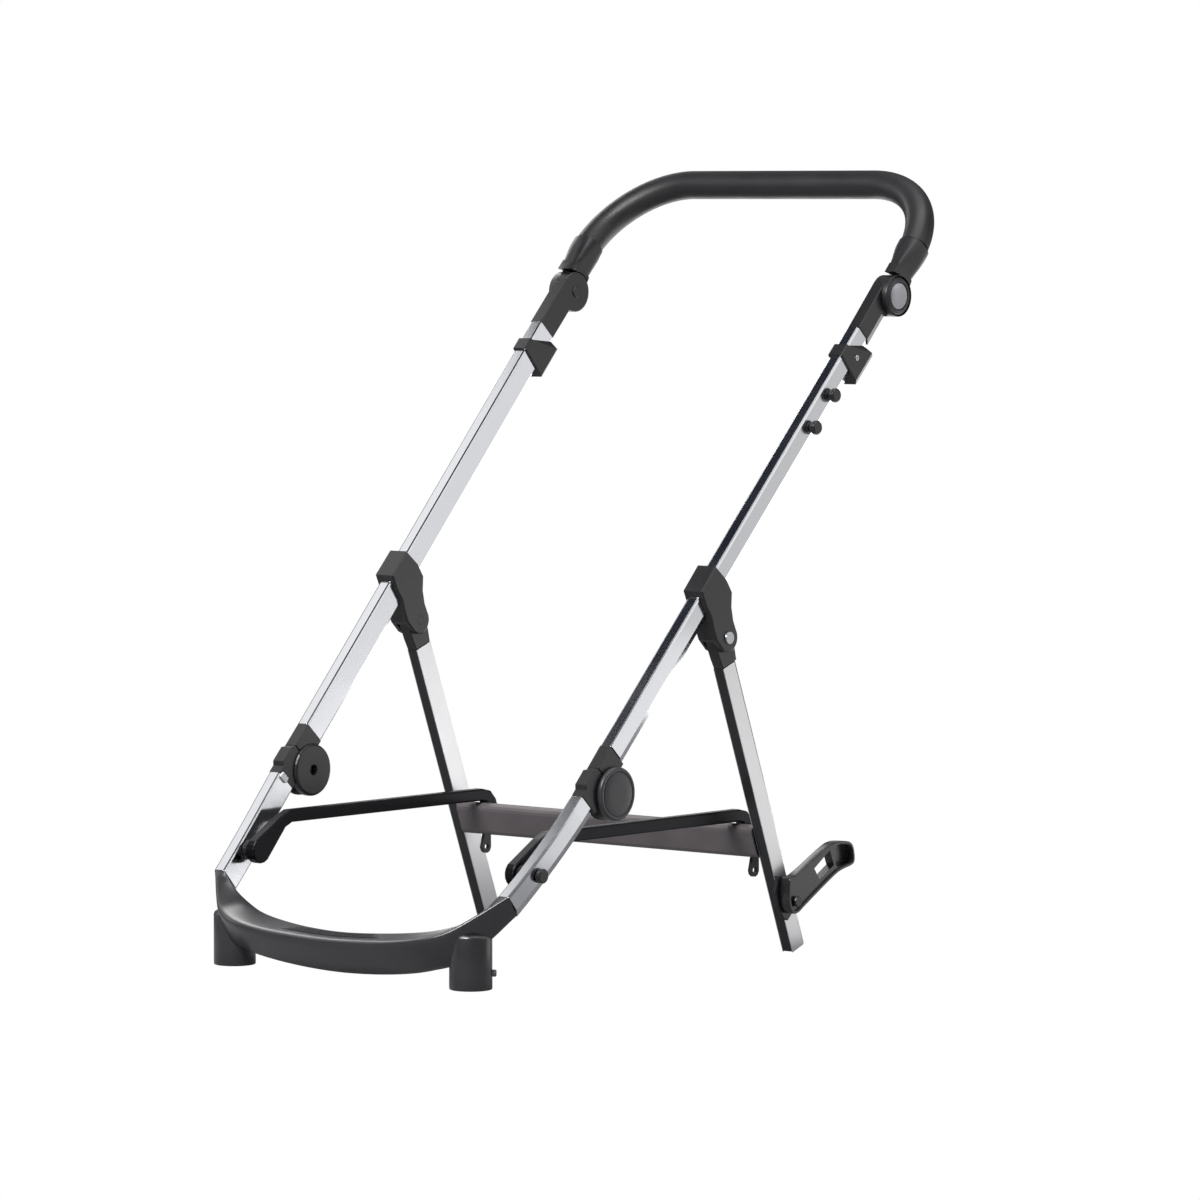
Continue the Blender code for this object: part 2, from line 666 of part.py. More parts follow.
def turn_to_release(bm):
    """Turn a shape from the socket's outer side round to where the wheel's release sits."""
    spin = Matrix.Rotation(RELEASE_TURN, 3, "Z")
    bmesh.ops.rotate(bm, verts=bm.verts, cent=Vector((SOCKET_TRACK, SOCKET_Y, 0.0)), matrix=spin)


def wheel_release(side, tag):
    """Small push button in the socket's wall that frees the front wheel."""
    bm = bmesh.new()
    outer = SOCKET_RADIUS + RELEASE_PROUD
    inner = SOCKET_BELL_RADIUS + 2.6
    turned(bm, [(SOCKET_TRACK + inner, RELEASE_RADIUS), (SOCKET_TRACK + outer - 1.0, RELEASE_RADIUS),
                (SOCKET_TRACK + outer, RELEASE_RADIUS - 1.0)], SOCKET_Y, RELEASE_HEIGHT, 12)
    turn_to_release(bm)
    pivot = (SOCKET_TRACK + outer * math.cos(RELEASE_TURN), SOCKET_Y + outer * math.sin(RELEASE_TURN),
             RELEASE_HEIGHT)
    finish("wheel_release_button_" + tag, bm, grey_plastic(), pivot, side)


def bracket_span():
    """Inner and outer side of the bracket: it covers the rail and the leg's fork, whichever is wider."""
    rail = rail_x((BRACKET_LOW + BRACKET_HIGH) / 2)
    rail_reach = RAIL_WIDTH / 2 + BRACKET_WALL
    fork_reach = LEG_WIDTH / 2 + 2 * GAP + FORK_CHEEK
    return min(rail - rail_reach, LEG_TRACK - fork_reach), max(rail + rail_reach, LEG_TRACK + fork_reach)


def leg_bracket(side, tag):
    """Clamp round the upper rail, with a fork behind it that carries the rear leg."""
    bm = bmesh.new()
    outline = [(BRACKET_LOW + 2, BRACKET_FRONT), (BRACKET_HIGH, BRACKET_FRONT), (BRACKET_HIGH + 2, 19.0),
               (BRACKET_HIGH - 2, RAIL_DEPTH + 5.0), (BRACKET_HIGH - 15.0, RAIL_DEPTH + 16.0),
               (LEG_PIVOT_U + 20.5, LEG_PIVOT_V - 6.5)]
    outline += arc(LEG_PIVOT_U, LEG_PIVOT_V, FORK_RADIUS, 10, 170, 8)
    outline += [(LEG_PIVOT_U - 16.5, LEG_PIVOT_V - 14.5), (BRACKET_LOW - 16.0, RAIL_DEPTH + 9.0),
                (BRACKET_LOW - 8.0, RAIL_DEPTH - 5.0), (BRACKET_LOW - 5.0, RAIL_DEPTH / 3)]
    inner, outer = bracket_span()
    side_outline = [rail_yz(u, v) for u, v in outline]
    plate(bm, side_outline, inner, outer, 1.6)
    body = finish("leg_bracket_" + tag, bm, black_plastic(), side=side)
    passage = bmesh.new()
    loft(passage, [rail_ring(190.0, -GAP), rail_ring(290.0, -GAP)])
    boolean(body, finish("tool_bracket_passage_" + tag, passage, None, side=side, cutter=True))
    slot = bmesh.new()
    slot_outline = arc(LEG_Y, LEG_Z, FORK_RADIUS + 1.0, 20, 160, 8)
    slot_outline += [(LEG_Y - FORK_RADIUS - 12.0, LEG_Z - 60.0), (LEG_Y + FORK_RADIUS + 60.0, LEG_Z - 60.0),
                     (LEG_Y + FORK_RADIUS + 60.0, LEG_Z)]
    slot_half = LEG_WIDTH / 2 + 2 * GAP
    plate(slot, slot_outline, LEG_TRACK - slot_half, LEG_TRACK + slot_half)
    boolean(body, finish("tool_bracket_slot_" + tag, slot, None, side=side, cutter=True))
    bore = knuckle_bore("tool_bracket_bore_" + tag, LEG_TRACK, LEG_Y, LEG_Z, LEG_PIN_RADIUS + GAP, side,
                        reach=30.0, segments=16)
    boolean(body, bore)


def leg_pin(side, tag):
    """Pivot pin of the rear leg, with a round head on the outer side."""
    bm = bmesh.new()
    inner, outer = bracket_span()
    outer += GAP
    profile = [(inner, LEG_PIN_RADIUS), (outer, LEG_PIN_RADIUS), (outer, LEG_PIN_RADIUS + 2.5),
               (outer + 1.6, LEG_PIN_RADIUS + 2.0)]
    turned(bm, profile, LEG_Y, LEG_Z, 16)
    finish("leg_pin_" + tag, bm, steel(), (LEG_TRACK, LEG_Y, LEG_Z), side)


def leg_xyz(w, s, t):
    y, z = leg_yz(s, t)
    return LEG_TRACK + w, y, z


def leg_cup(side, tag):
    """Moulded top of the rear leg: a round tongue on the pivot pin and a plug inside the tube."""
    bm = bmesh.new()
    outline = arc(0.0, 0.0, FORK_RADIUS - 0.6, 90, 270, 10)
    outline += [(20.0, -FORK_RADIUS + 2.0), (LEG_TOP - GAP, -LEG_DEPTH / 2), (LEG_TOP - GAP, LEG_DEPTH / 2),
                (20.0, FORK_RADIUS - 2.0)]
    half = LEG_WIDTH / 2
    plate(bm, outline, -half, half, 1.0, leg_xyz)
    body = finish("leg_cup_" + tag, bm, black_plastic(), (LEG_TRACK, LEG_Y, LEG_Z), side)
    plug = bmesh.new()
    reach = LEG_WALL + GAP
    section = [(w, t) for w, t in leg_section(reach)]
    loft(plug, [[leg_xyz(w, s, t) for w, t in section] for s in (LEG_TOP - 4.0, LEG_TOP + SPIGOT_LENGTH)])
    boolean(body, finish("tool_leg_plug_" + tag, plug, None, side=side, cutter=True), "UNION")
    bore = knuckle_bore("tool_leg_cup_bore_" + tag, LEG_TRACK, LEG_Y, LEG_Z, LEG_PIN_RADIUS + GAP, side,
                        segments=16)
    boolean(body, bore)


def leg_section(inset=0.0):
    """Points (w, t) of the leg's section: a channel in front, one corner cut off behind and outside."""
    half = LEG_WIDTH / 2 - inset
    front = LEG_DEPTH / 2 - inset
    groove = STRIP_WIDTH / 2 + GAP
    floor = LEG_DEPTH / 2 - STRIP_DEPTH - inset
    points = [(-groove, floor), (-groove, front), (-half, front), (-half, -front),
              (half - LEG_CHAMFER * 0.6, -front),
              (half, -front + LEG_CHAMFER), (half, front), (groove, front), (groove, floor)]
    if inset > 0:
        edge = half - 0.05
        points[0] = (-edge + 0.6, floor)
        points[1] = (-edge + 0.3, floor)
        points[2] = (-half, floor - 0.3)
        points[6] = (half, floor - 0.3)
        points[7] = (edge - 0.3, floor)
        points[8] = (edge - 0.6, floor)
    return points


def rear_leg(side, tag):
    """Extruded leg with an open lower end and a channel down its front for a black strip."""
    bm = bmesh.new()
    stations = (LEG_TOP, LEG_END)
    outer = [[leg_xyz(w, s, t) for w, t in leg_section()] for s in stations]
    inner = [[leg_xyz(w, s, t) for w, t in leg_section(LEG_WALL)] for s in stations]
    shell(bm, outer, inner)
    finish("rear_leg_" + tag, bm, anodised_aluminium(), (LEG_TRACK, LEG_Y, LEG_Z), side)


def leg_strip(side, tag):
    bm = bmesh.new()
    half = STRIP_WIDTH / 2
    front = LEG_DEPTH / 2
    back = front - STRIP_DEPTH + GAP
    ring = [(-half, back), (-half, front), (half, front), (half, back)]
    stations = (LEG_TOP + 0.5, LEG_END - 1.0)
    loft(bm, [[leg_xyz(w, s, t) for w, t in ring] for s in stations])
    finish("leg_strip_" + tag, bm, black_plastic(), (LEG_TRACK, LEG_Y, LEG_Z), side)


def crossbar():
    """Oval bar between the legs: a hollow extrusion with its edges rounded, open at both ends."""
    bm = bmesh.new()
    half_length = LEG_TRACK - LEG_WIDTH / 2 - GAP
    low = CROSSBAR_LOW

    def section(inset):
        front = LEG_DEPTH / 2 - CROSSBAR_SETBACK - inset
        back = CROSSBAR_BACK + inset
        edge = CROSSBAR_EDGE - inset
        points = arc(low + inset + edge, front - edge, edge, 90, 180, 3)
        points += arc(low + inset + edge, back + edge, edge, 180, 270, 3)
        points += arc(low + CROSSBAR_HEIGHT - inset - edge, back + edge, edge, 270, 360, 3)
        points += arc(low + CROSSBAR_HEIGHT - inset - edge, front - edge, edge, 0, 90, 3)
        return [leg_yz(s, t) for s, t in points]

    outer = [[(x, y, z) for y, z in section(0.0)] for x in (-half_length, half_length)]
    inner = [[(x, y, z) for y, z in section(CROSSBAR_WALL)] for x in (-half_length, half_length)]
    shell(bm, outer, inner)
    finish("crossbar", bm, grey_plastic(), (0.0, LEG_Y, LEG_Z))


def bar_outline(path, half_width, end_radius_first, end_radius_last):
    """Outline of a bent flat bar with round ends, from its centreline."""
    count = len(path)
    left, right = [], []
    for i in range(1, count - 1):
        a, b, c = (Vector(path[k]) for k in (i - 1, i, i + 1))
        before = (b - a).normalized()
        after = (c - b).normalized()
        normal = Vector((-(before.y + after.y), before.x + after.x)).normalized()
        scale = half_width / normal.dot(Vector((-before.y, before.x)))
        left.append(tuple(b + normal * scale))
        right.append(tuple(b - normal * scale))
    first = Vector(path[1]) - Vector(path[0])
    last = Vector(path[-1]) - Vector(path[-2])
    start = math.degrees(math.atan2(first.y, first.x))
    end = math.degrees(math.atan2(last.y, last.x))
    outline = arc(path[-1][0], path[-1][1], end_radius_last, end - 90, end + 90, 6)
    outline += list(reversed(left))
    outline += arc(path[0][0], path[0][1], end_radius_first, start + 90, start + 270, 8)
    outline += right
    return outline


def strut(side, tag):
    """Flat strut: cranked down to the lower rail in front, hooked over the crossbar behind."""
    bm = bmesh.new()
    bend_y = STRUT_REAR_Y - (STRUT_LINE - STRUT_REAR_Z) * math.tan(LEG_LEAN)
    path = [(STRUT_FRONT_Y, STRUT_FRONT_Z), (STRUT_FRONT_Y + 36.6, STRUT_LINE - 6.0),
            (STRUT_FRONT_Y + 50.6, STRUT_LINE),
            (bend_y - 14.0, STRUT_LINE), (bend_y - 3.0, STRUT_LINE - 2.5),
            (bend_y + 4.0, STRUT_LINE - 10.0), (STRUT_REAR_Y, STRUT_REAR_Z)]
    outline = bar_outline(path, STRUT_HEIGHT / 2, STRUT_FOOT_RADIUS, STRUT_HEIGHT / 2)
    plate(bm, outline, STRUT_INNER, STRUT_OUTER, 2.0, segments=2)
    pivot = (STRUT_INNER + STRUT_WIDTH / 2, STRUT_REAR_Y, STRUT_REAR_Z)
    body = finish("strut_" + tag, bm, anodised_aluminium(), pivot, side)
    bore = knuckle_bore("tool_strut_bore_" + tag, STRUT_INNER + STRUT_WIDTH / 2, STRUT_REAR_Y, STRUT_REAR_Z,
                        ANCHOR_HOLE_RADIUS, side, segments=12)
    boolean(body, bore)


def strut_anchor(side, tag):
    """Steel plate behind the crossbar that carries the strut, with its hole below the bar."""
    bm = bmesh.new()
    back = CROSSBAR_BACK - GAP
    front_top = leg_yz(CROSSBAR_LOW + 4.0, back)
    front_low = leg_yz(CROSSBAR_LOW + CROSSBAR_HEIGHT - 4.0, back)
    outline = [front_top, front_low, leg_yz(CROSSBAR_LOW + CROSSBAR_HEIGHT + 1.0, back)]
    outline += arc(ANCHOR_HOLE_Y, ANCHOR_HOLE_Z, 8.0, 180, 350, 5)
    outline += arc(STRUT_REAR_Y, STRUT_REAR_Z, 8.5, 0, 100, 4)
    inner = STRUT_OUTER + GAP
    plate(bm, outline, inner, inner + ANCHOR_THICKNESS)
    body = finish("strut_anchor_" + tag, bm, steel(), (inner, STRUT_REAR_Y, STRUT_REAR_Z), side)
    for label, y, z in (("pin", STRUT_REAR_Y, STRUT_REAR_Z), ("eye", ANCHOR_HOLE_Y, ANCHOR_HOLE_Z)):
        bore = knuckle_bore("tool_anchor_" + label + "_" + tag, inner + 2.0, y, z, ANCHOR_HOLE_RADIUS, side,
                            segments=12)
        boolean(body, bore)


def strut_pin(side, tag):
    bm = bmesh.new()
    inner = STRUT_INNER - GAP
    outer = STRUT_OUTER + 2 * GAP + ANCHOR_THICKNESS
    radius = ANCHOR_HOLE_RADIUS - GAP
    profile = [(inner - 1.6, radius + 1.8), (inner, radius + 2.2), (inner, radius), (outer, radius),
               (outer, radius + 2.2), (outer + 1.6, radius + 1.8)]
    turned(bm, profile, STRUT_REAR_Y, STRUT_REAR_Z, 12)
    finish("strut_pin_" + tag, bm, steel(), (inner, STRUT_REAR_Y, STRUT_REAR_Z), side)


def strut_foot_parts(side, tag):
    """Round boss on the rail's inner side under the strut's foot, and the pivot's plug on the outer side."""
    boss = bmesh.new()
    start = STRUT_OUTER + 0.5
    end = lower_station(STRUT_FOOT_DISTANCE + BOSS_RADIUS)[0] - RAIL_WIDTH / 2 - GAP
    turned(boss, [(start, BOSS_RADIUS - 1.0), (end, BOSS_RADIUS)], STRUT_FRONT_Y, STRUT_FRONT_Z, 16)
    finish("strut_boss_" + tag, boss, black_plastic(), side=side)
    plug = bmesh.new()
    start = lower_station(STRUT_FOOT_DISTANCE - PLUG_RADIUS)[0] + RAIL_WIDTH / 2 + GAP
    end = start + PLUG_PROUD
    turned(plug, [(start, PLUG_RADIUS), (end - 1.2, PLUG_RADIUS), (end, PLUG_RADIUS - 1.2)],
           STRUT_FRONT_Y, STRUT_FRONT_Z, 20)
    finish("strut_plug_" + tag, plug, grey_plastic(), side=side)


def trigger_section(inset):
    """Points (w, v) of the fold trigger round the rail, with a wing behind it."""
    half = RAIL_WIDTH / 2 - inset
    edge = 2.4
    rear = TRIGGER_WING if inset < -1 else RAIL_DEPTH + GAP
    chamfer = 6.0 if inset < -1 else 9.9
    points = arc(-half + edge, inset + edge, edge, 180, 270, 2)
    points += arc(half - edge, inset + edge, edge, 270, 360, 2)
    points.append((half, rear - chamfer))
    points.append((half - chamfer * 0.56, rear))
    points += arc(-half + edge, rear - edge, edge, 90, 180, 2)
    return points


def fold_trigger(side, tag):
    """Sliding collar on the upper rail that releases the fold when it is pulled up."""
    bm = bmesh.new()

    def top(v):
        return TRIGGER_HIGH + (TRIGGER_SIDE_HIGH - TRIGGER_HIGH) * min(max(v, 0.0) / 25.0, 1.0)

    def bottom(v):
        return TRIGGER_LOW - 5.0 * min(max(v, 0.0) / TRIGGER_WING, 1.0)

    outer_section = trigger_section(-TRIGGER_WALL)
    inner_section = trigger_section(-GAP)
    outer = [[rail_xyz(w, edge(v), v) for w, v in outer_section] for edge in (bottom, top)]
    inner = [[rail_xyz(w, edge(v), v) for w, v in inner_section] for edge in (bottom, top)]
    shell(bm, outer, inner)
    finish("fold_trigger_" + tag, bm, black_plastic(), rail_xyz(0.0, TRIGGER_LOW, STUD_V), side)


def stud(index, u):
    """Button-headed stud on the outer face of the left rail."""
    bm = bmesh.new()
    x, y, z = rail_xyz(RAIL_WIDTH / 2, u, STUD_V)
    start = x + 2 * GAP
    end = start + STUD_LENGTH
    profile = [(start, STUD_RADIUS - 2.3), (start + 4.0, STUD_RADIUS - 2.3), (start + 4.0, STUD_RADIUS),
               (end - 1.5, STUD_RADIUS), (end, STUD_RADIUS - 1.5)]
    turned(bm, profile, y, z, 16)
    finish(("stud_lower", "stud_upper")[index], bm, black_plastic())


def handle_xyz(w, u, v):
    y, z = rail_yz(u, v)
    return HANDLE_TRACK + w, y, z


def eye_lap_tool(name, low, high, side):
    """Room for the other half's eye, between two distances across the rail."""
    bm = bmesh.new()
    radius = EYE_RADIUS + 2 * GAP
    turned(bm, [(HANDLE_TRACK + low, radius), (HANDLE_TRACK + high, radius)], HANDLE_Y, HANDLE_Z, 36)
    return finish(name, bm, None, side=side, cutter=True)


def handle_sleeve(side, tag):
    """Plug on the upper rail's end: its round eye takes the inner part of the handle's pivot."""
    bm = bmesh.new()
    half = RAIL_WIDTH / 2
    touch = math.degrees(math.asin((RAIL_DEPTH - HANDLE_V) / EYE_RADIUS))
    outline = [(SLEEVE_LOW, 0.0), (SLEEVE_LOW, RAIL_DEPTH)]
    outline += arc(HANDLE_U, HANDLE_V, EYE_RADIUS, 180 - touch, -90, 18)
    plate(bm, outline, -half, half, 0.8, handle_xyz)
    body = finish("handle_sleeve_" + tag, bm, black_plastic(), (HANDLE_TRACK, HANDLE_Y, HANDLE_Z), side)
    corner = bmesh.new()
    reach = HANDLE_U - EYE_RADIUS - 2.0
    edge = [(RAIL_CHAMFER_END, RAIL_DEPTH + GAP), (half + GAP, RAIL_CHAMFER_START),
            (half + 8.0, RAIL_DEPTH + 8.0)]
    loft(corner, [[handle_xyz(w, u, v) for w, v in edge] for u in (SLEEVE_LOW - 2.0, reach)])
    boolean(body, finish("tool_sleeve_corner_" + tag, corner, None, side=side, cutter=True))
    boolean(body, eye_lap_tool("tool_sleeve_lap_" + tag, EYE_LAP, half + 6.0, side))
    spigot = spigot_tool("tool_sleeve_spigot_" + tag, SLEEVE_LOW - SPIGOT_LENGTH, SLEEVE_LOW + 3.0,
                         rail_xyz, side)
    boolean(body, spigot, "UNION")
    bore = knuckle_bore("tool_sleeve_bore_" + tag, HANDLE_TRACK, HANDLE_Y, HANDLE_Z, HANDLE_PIN_RADIUS + GAP,
                        side, segments=16)
    boolean(body, bore)


def handle_arm(side, tag):
    """Lower end of the handle: an eye on the outer part of the pivot, growing into a round socket."""
    bm = bmesh.new()
    half = RAIL_WIDTH / 2
    depth = RAIL_DEPTH / 2 + GAP
    start = EYE_RADIUS + 3.0
    neck = HANDLE_U + start + 2.5
    outline = arc(HANDLE_U, HANDLE_V, EYE_RADIUS, 20, 270 + ARM_FRONT_RELIEF, 20)
    outline += [(HANDLE_U + start - 0.8, BAR_V - depth), (neck, BAR_V - depth), (neck, BAR_V + depth)]
    plate(bm, outline, ARM_INNER_SIDE, half, 0.8, handle_xyz)
    body = finish("handle_arm_" + tag, bm, black_plastic(), (HANDLE_TRACK, HANDLE_Y, HANDLE_Z), side)
    boolean(body, eye_lap_tool("tool_arm_lap_" + tag, -half - 6.0, EYE_LAP + GAP, side))
    grow = bmesh.new()
    rings = []
    for share in (0.0, 0.35, 0.7, 1.0):
        s = start + (ARM_LENGTH - start) * share
        ease = share * share * (3 - 2 * share)
        width = (half - ARM_INNER_SIDE) / 2
        offset = (half + ARM_INNER_SIDE) / 2 * (1 - ease)
        rings.append(superellipse_ring(s, offset, width + (GRIP_RADIUS - width) * ease,
                                       depth + (GRIP_RADIUS - depth) * ease, 6.0 - 4.0 * ease))
    loft(grow, rings)
    boolean(body, finish("tool_arm_grow_" + tag, grow, None, side=side, cutter=True), "UNION")
    socket = bmesh.new()
    frames = bar_path()
    bore = HANDLE_TUBE_RADIUS + GAP
    loft(socket, [ring_round(frames[0], bore, 12, slide=-2 * GAP), ring_round(frames[0], bore, 12),
                  ring_round(frames[1], bore, 12), ring_round(frames[2], bore, 12),
                  ring_round(frames[2], bore, 12, slide=3.0)])
    boolean(body, finish("tool_arm_socket_" + tag, socket, None, side=side, cutter=True))
    bore = knuckle_bore("tool_arm_bore_" + tag, HANDLE_TRACK, HANDLE_Y, HANDLE_Z, HANDLE_PIN_RADIUS + GAP,
                        side, segments=16)
    boolean(body, bore)


def superellipse_ring(s, offset, half_w, half_v, power):
    """Ring of an arm section that runs from a rounded block to a circle."""
    centre = bar_track(s) + offset
    ring = []
    for i in range(24):
        angle = 2 * math.pi * i / 24
        c, d = math.cos(angle), math.sin(angle)
        reach = (abs(c) ** power + abs(d) ** power) ** (-1.0 / power)
        y, z = rail_yz(HANDLE_U + s, BAR_V + half_v * reach * d)
        ring.append((centre + half_w * reach * c, y, z))
    return ring


def bar_track(s):
    """Distance of the handle's side from the middle plane, s beyond the pivot."""
    share = min(max(s / ARM_LENGTH, 0.0), 1.0)
    return HANDLE_TRACK + (BAR_HALF_WIDTH - HANDLE_TRACK) * share * share


def bar_path():
    """Centre points (x, s) and headings of the handlebar's left half, from inside the arm to the middle."""
    corner_s = BAR_REACH - BAR_CORNER
    frames = []
    for s in (ARM_LENGTH - 16.0, ARM_LENGTH - 8.0, ARM_LENGTH):
        frames.append((bar_track(s), s, 90.0))
    first_angle = math.degrees(math.asin((ARM_LENGTH - corner_s) / BAR_CORNER))
    for i in range(1, CORNER_STEPS + 1):
        angle = first_angle + (90.0 - first_angle) * i / CORNER_STEPS
        frames.append((BAR_HALF_WIDTH - BAR_CORNER + BAR_CORNER * math.cos(math.radians(angle)),
                       corner_s + BAR_CORNER * math.sin(math.radians(angle)), angle + 90.0))
    frames.append((BAR_HALF_WIDTH - BAR_CORNER - 70.0, BAR_REACH, 180.0))
    return frames


def ring_round(frame, radius, count, slide=0.0, mirror=1):
    """Round ring square to the handlebar's path at one of its frames."""
    x, s, heading = frame
    angle = math.radians(heading)
    along_x, along_s = math.cos(angle), math.sin(angle)
    ring = []
    for i in range(count):
        turn = 2 * math.pi * (i + 0.5) / count
        side_reach = radius * math.cos(turn)
        depth = radius * math.sin(turn)
        px = x + along_x * slide + along_s * side_reach
        ps = s + along_s * slide - along_x * side_reach
        y, z = rail_yz(HANDLE_U + ps, BAR_V + depth)
        ring.append((mirror * px, y, z))
    return ring


def bar_rings(frames, radius, count):
    """Rings along the whole handlebar from the left half's frames."""
    left = [ring_round(frame, radius, count) for frame in frames]
    right = []
    for frame in reversed(frames):
        right.append([(-x, y, z) for x, y, z in ring_round(frame, radius, count)])
    return left + right


def handle_tube():
    bm = bmesh.new()
    frames = bar_path()
    inner = HANDLE_TUBE_RADIUS - HANDLE_TUBE_WALL
    shell(bm, bar_rings(frames, HANDLE_TUBE_RADIUS, 12), bar_rings(frames, inner, 12))
    finish("handle_tube", bm, steel(), (0.0, HANDLE_Y, HANDLE_Z))


def handle_grip():
    """Soft round grip over the whole handlebar."""
    bm = bmesh.new()
    frames = bar_path()[2:]
    x, s, heading = frames[0]
    frames[0] = (x, s + GAP, heading)
    inner = HANDLE_TUBE_RADIUS + GAP
    shell(bm, bar_rings(frames, GRIP_RADIUS, 16), bar_rings(frames, inner, 16))
    finish("handle_grip", bm, grip_leather(), (0.0, HANDLE_Y, HANDLE_Z))


def handle_cap(side, tag):
    """Outer ring of the handle's joint, stepped towards the push button in its middle."""
    bm = bmesh.new()
    near = HANDLE_TRACK + RAIL_WIDTH / 2 + GAP
    face = near + HANDLE_DRUM_PROUD
    pocket = BUTTON_RADIUS + GAP
    profile = [(near, pocket), (face, pocket), (face, 18.6), (face - 0.9, 19.2), (face - 0.9, 20.6),
               (face - 2.2, HANDLE_DRUM_RADIUS - 1.0), (face - 4.0, HANDLE_DRUM_RADIUS),
               (near, HANDLE_DRUM_RADIUS)]
    turned_ring(bm, profile, HANDLE_Y, HANDLE_Z, 28)
    finish("handle_cap_" + tag, bm, black_plastic(), (HANDLE_TRACK, HANDLE_Y, HANDLE_Z), side)


def handle_button(side, tag):
    """Dished push button that frees the handle's joint."""
    bm = bmesh.new()
    near = HANDLE_TRACK + RAIL_WIDTH / 2 + 2 * GAP + BUTTON_TRAVEL
    face = HANDLE_TRACK + RAIL_WIDTH / 2 + GAP + HANDLE_DRUM_PROUD - 0.4
    profile = [(near, BUTTON_RADIUS), (face - 0.9, BUTTON_RADIUS), (face, BUTTON_RADIUS - 1.1),
               (face - 0.9, 9.0), (face - 1.4, 3.0)]
    turned(bm, profile, HANDLE_Y, HANDLE_Z, 28)
    finish("handle_button_" + tag, bm, grey_plastic(), (near, HANDLE_Y, HANDLE_Z), side)


def handle_pin(side, tag):
    bm = bmesh.new()
    inner = HANDLE_TRACK - RAIL_WIDTH / 2 - GAP
    outer = HANDLE_TRACK + RAIL_WIDTH / 2 - GAP
    profile = [(inner - 1.2, 6.0), (inner, 7.0), (inner, HANDLE_PIN_RADIUS), (outer, HANDLE_PIN_RADIUS)]
    turned(bm, profile, HANDLE_Y, HANDLE_Z, 16)
    finish("handle_pin_" + tag, bm, steel(), (inner, HANDLE_Y, HANDLE_Z), side)


def brake_base():
    """Moulding on the outer side of the left leg that carries the brake pedal."""
    bm = bmesh.new()
    outline = [(285.0, 74.0), (290.0, 92.0), (300.0, 92.0), (321.0, 66.0), (321.0, 50.0), (309.0, 39.0),
               (301.0, 41.0), (290.0, 56.0)]
    inner = LEG_TRACK + LEG_WIDTH / 2 + GAP
    plate(bm, outline, inner, PEDAL_INNER - GAP, 1.2)
    body = finish("brake_base", bm, black_plastic(), (inner, PEDAL_PIVOT_Y, PEDAL_PIVOT_Z))
    bore = knuckle_bore("tool_brake_base_bore", inner, PEDAL_PIVOT_Y, PEDAL_PIVOT_Z, 3.3, 1, segments=12)
    boolean(body, bore)


def brake_pedal():
    """Lever with an open window, rising behind the leg to its foot pad."""
    bm = bmesh.new()
    outline = arc(PEDAL_PIVOT_Y, PEDAL_PIVOT_Z, 15.0, 110, 300, 8)
    outline += [(348.0, 66.0), (385.0, 86.0), (418.0, 88.0), (427.0, 96.0), (424.0, 112.0), (408.0, 126.0),
                (392.0, 127.0), (372.0, 116.0), (330.0, 88.0)]
    plate(bm, outline, PEDAL_INNER, PEDAL_INNER + PEDAL_WIDTH, 2.0, segments=2)
    pivot = (PEDAL_INNER, PEDAL_PIVOT_Y, PEDAL_PIVOT_Z)
    body = finish("brake_pedal", bm, black_plastic(), pivot)
    window = bmesh.new()
    plate(window, [(346.0, 78.0), (378.0, 95.0), (392.0, 112.0), (376.0, 107.0), (345.0, 86.0)],
          PEDAL_INNER - 5.0, PEDAL_INNER + PEDAL_WIDTH + 5.0)
    boolean(body, finish("tool_pedal_window", window, None, cutter=True))
    bore = knuckle_bore("tool_pedal_bore", PEDAL_INNER + PEDAL_WIDTH / 2, PEDAL_PIVOT_Y, PEDAL_PIVOT_Z,
                        3.0 + GAP, 1, segments=12)
    boolean(body, bore)
    bolt = bmesh.new()
    outer = PEDAL_INNER + PEDAL_WIDTH + GAP
    inner = LEG_TRACK + LEG_WIDTH / 2 + GAP
    turned(bolt, [(inner, 3.0), (outer, 3.0), (outer, 6.5), (outer + 2.0, 5.8)],
           PEDAL_PIVOT_Y, PEDAL_PIVOT_Z, 12)
    finish("brake_bolt", bolt, steel(), pivot)


def build():
    clear_scene()
    front_arch()
    crossbar()
    handle_tube()
    handle_grip()
    brake_base()
    brake_pedal()
    for index, u in enumerate(STUD_STATIONS):
        stud(index, u)
    makers = (upper_rail, lower_rail, hub_lower, hub_upper, hub_outer_cap, hub_inner_cap, hub_pin, hub_latch,
              wheel_release, leg_bracket, leg_pin, leg_cup, rear_leg, leg_strip, strut, strut_anchor,
              strut_pin, strut_foot_parts, fold_trigger, handle_sleeve, handle_arm, handle_cap,
              handle_button, handle_pin)
    for side, tag in sides():
        for make in makers:
            make(side, tag)


build()
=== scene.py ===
import json
import math

import bmesh
import bpy
from mathutils import Matrix, Vector


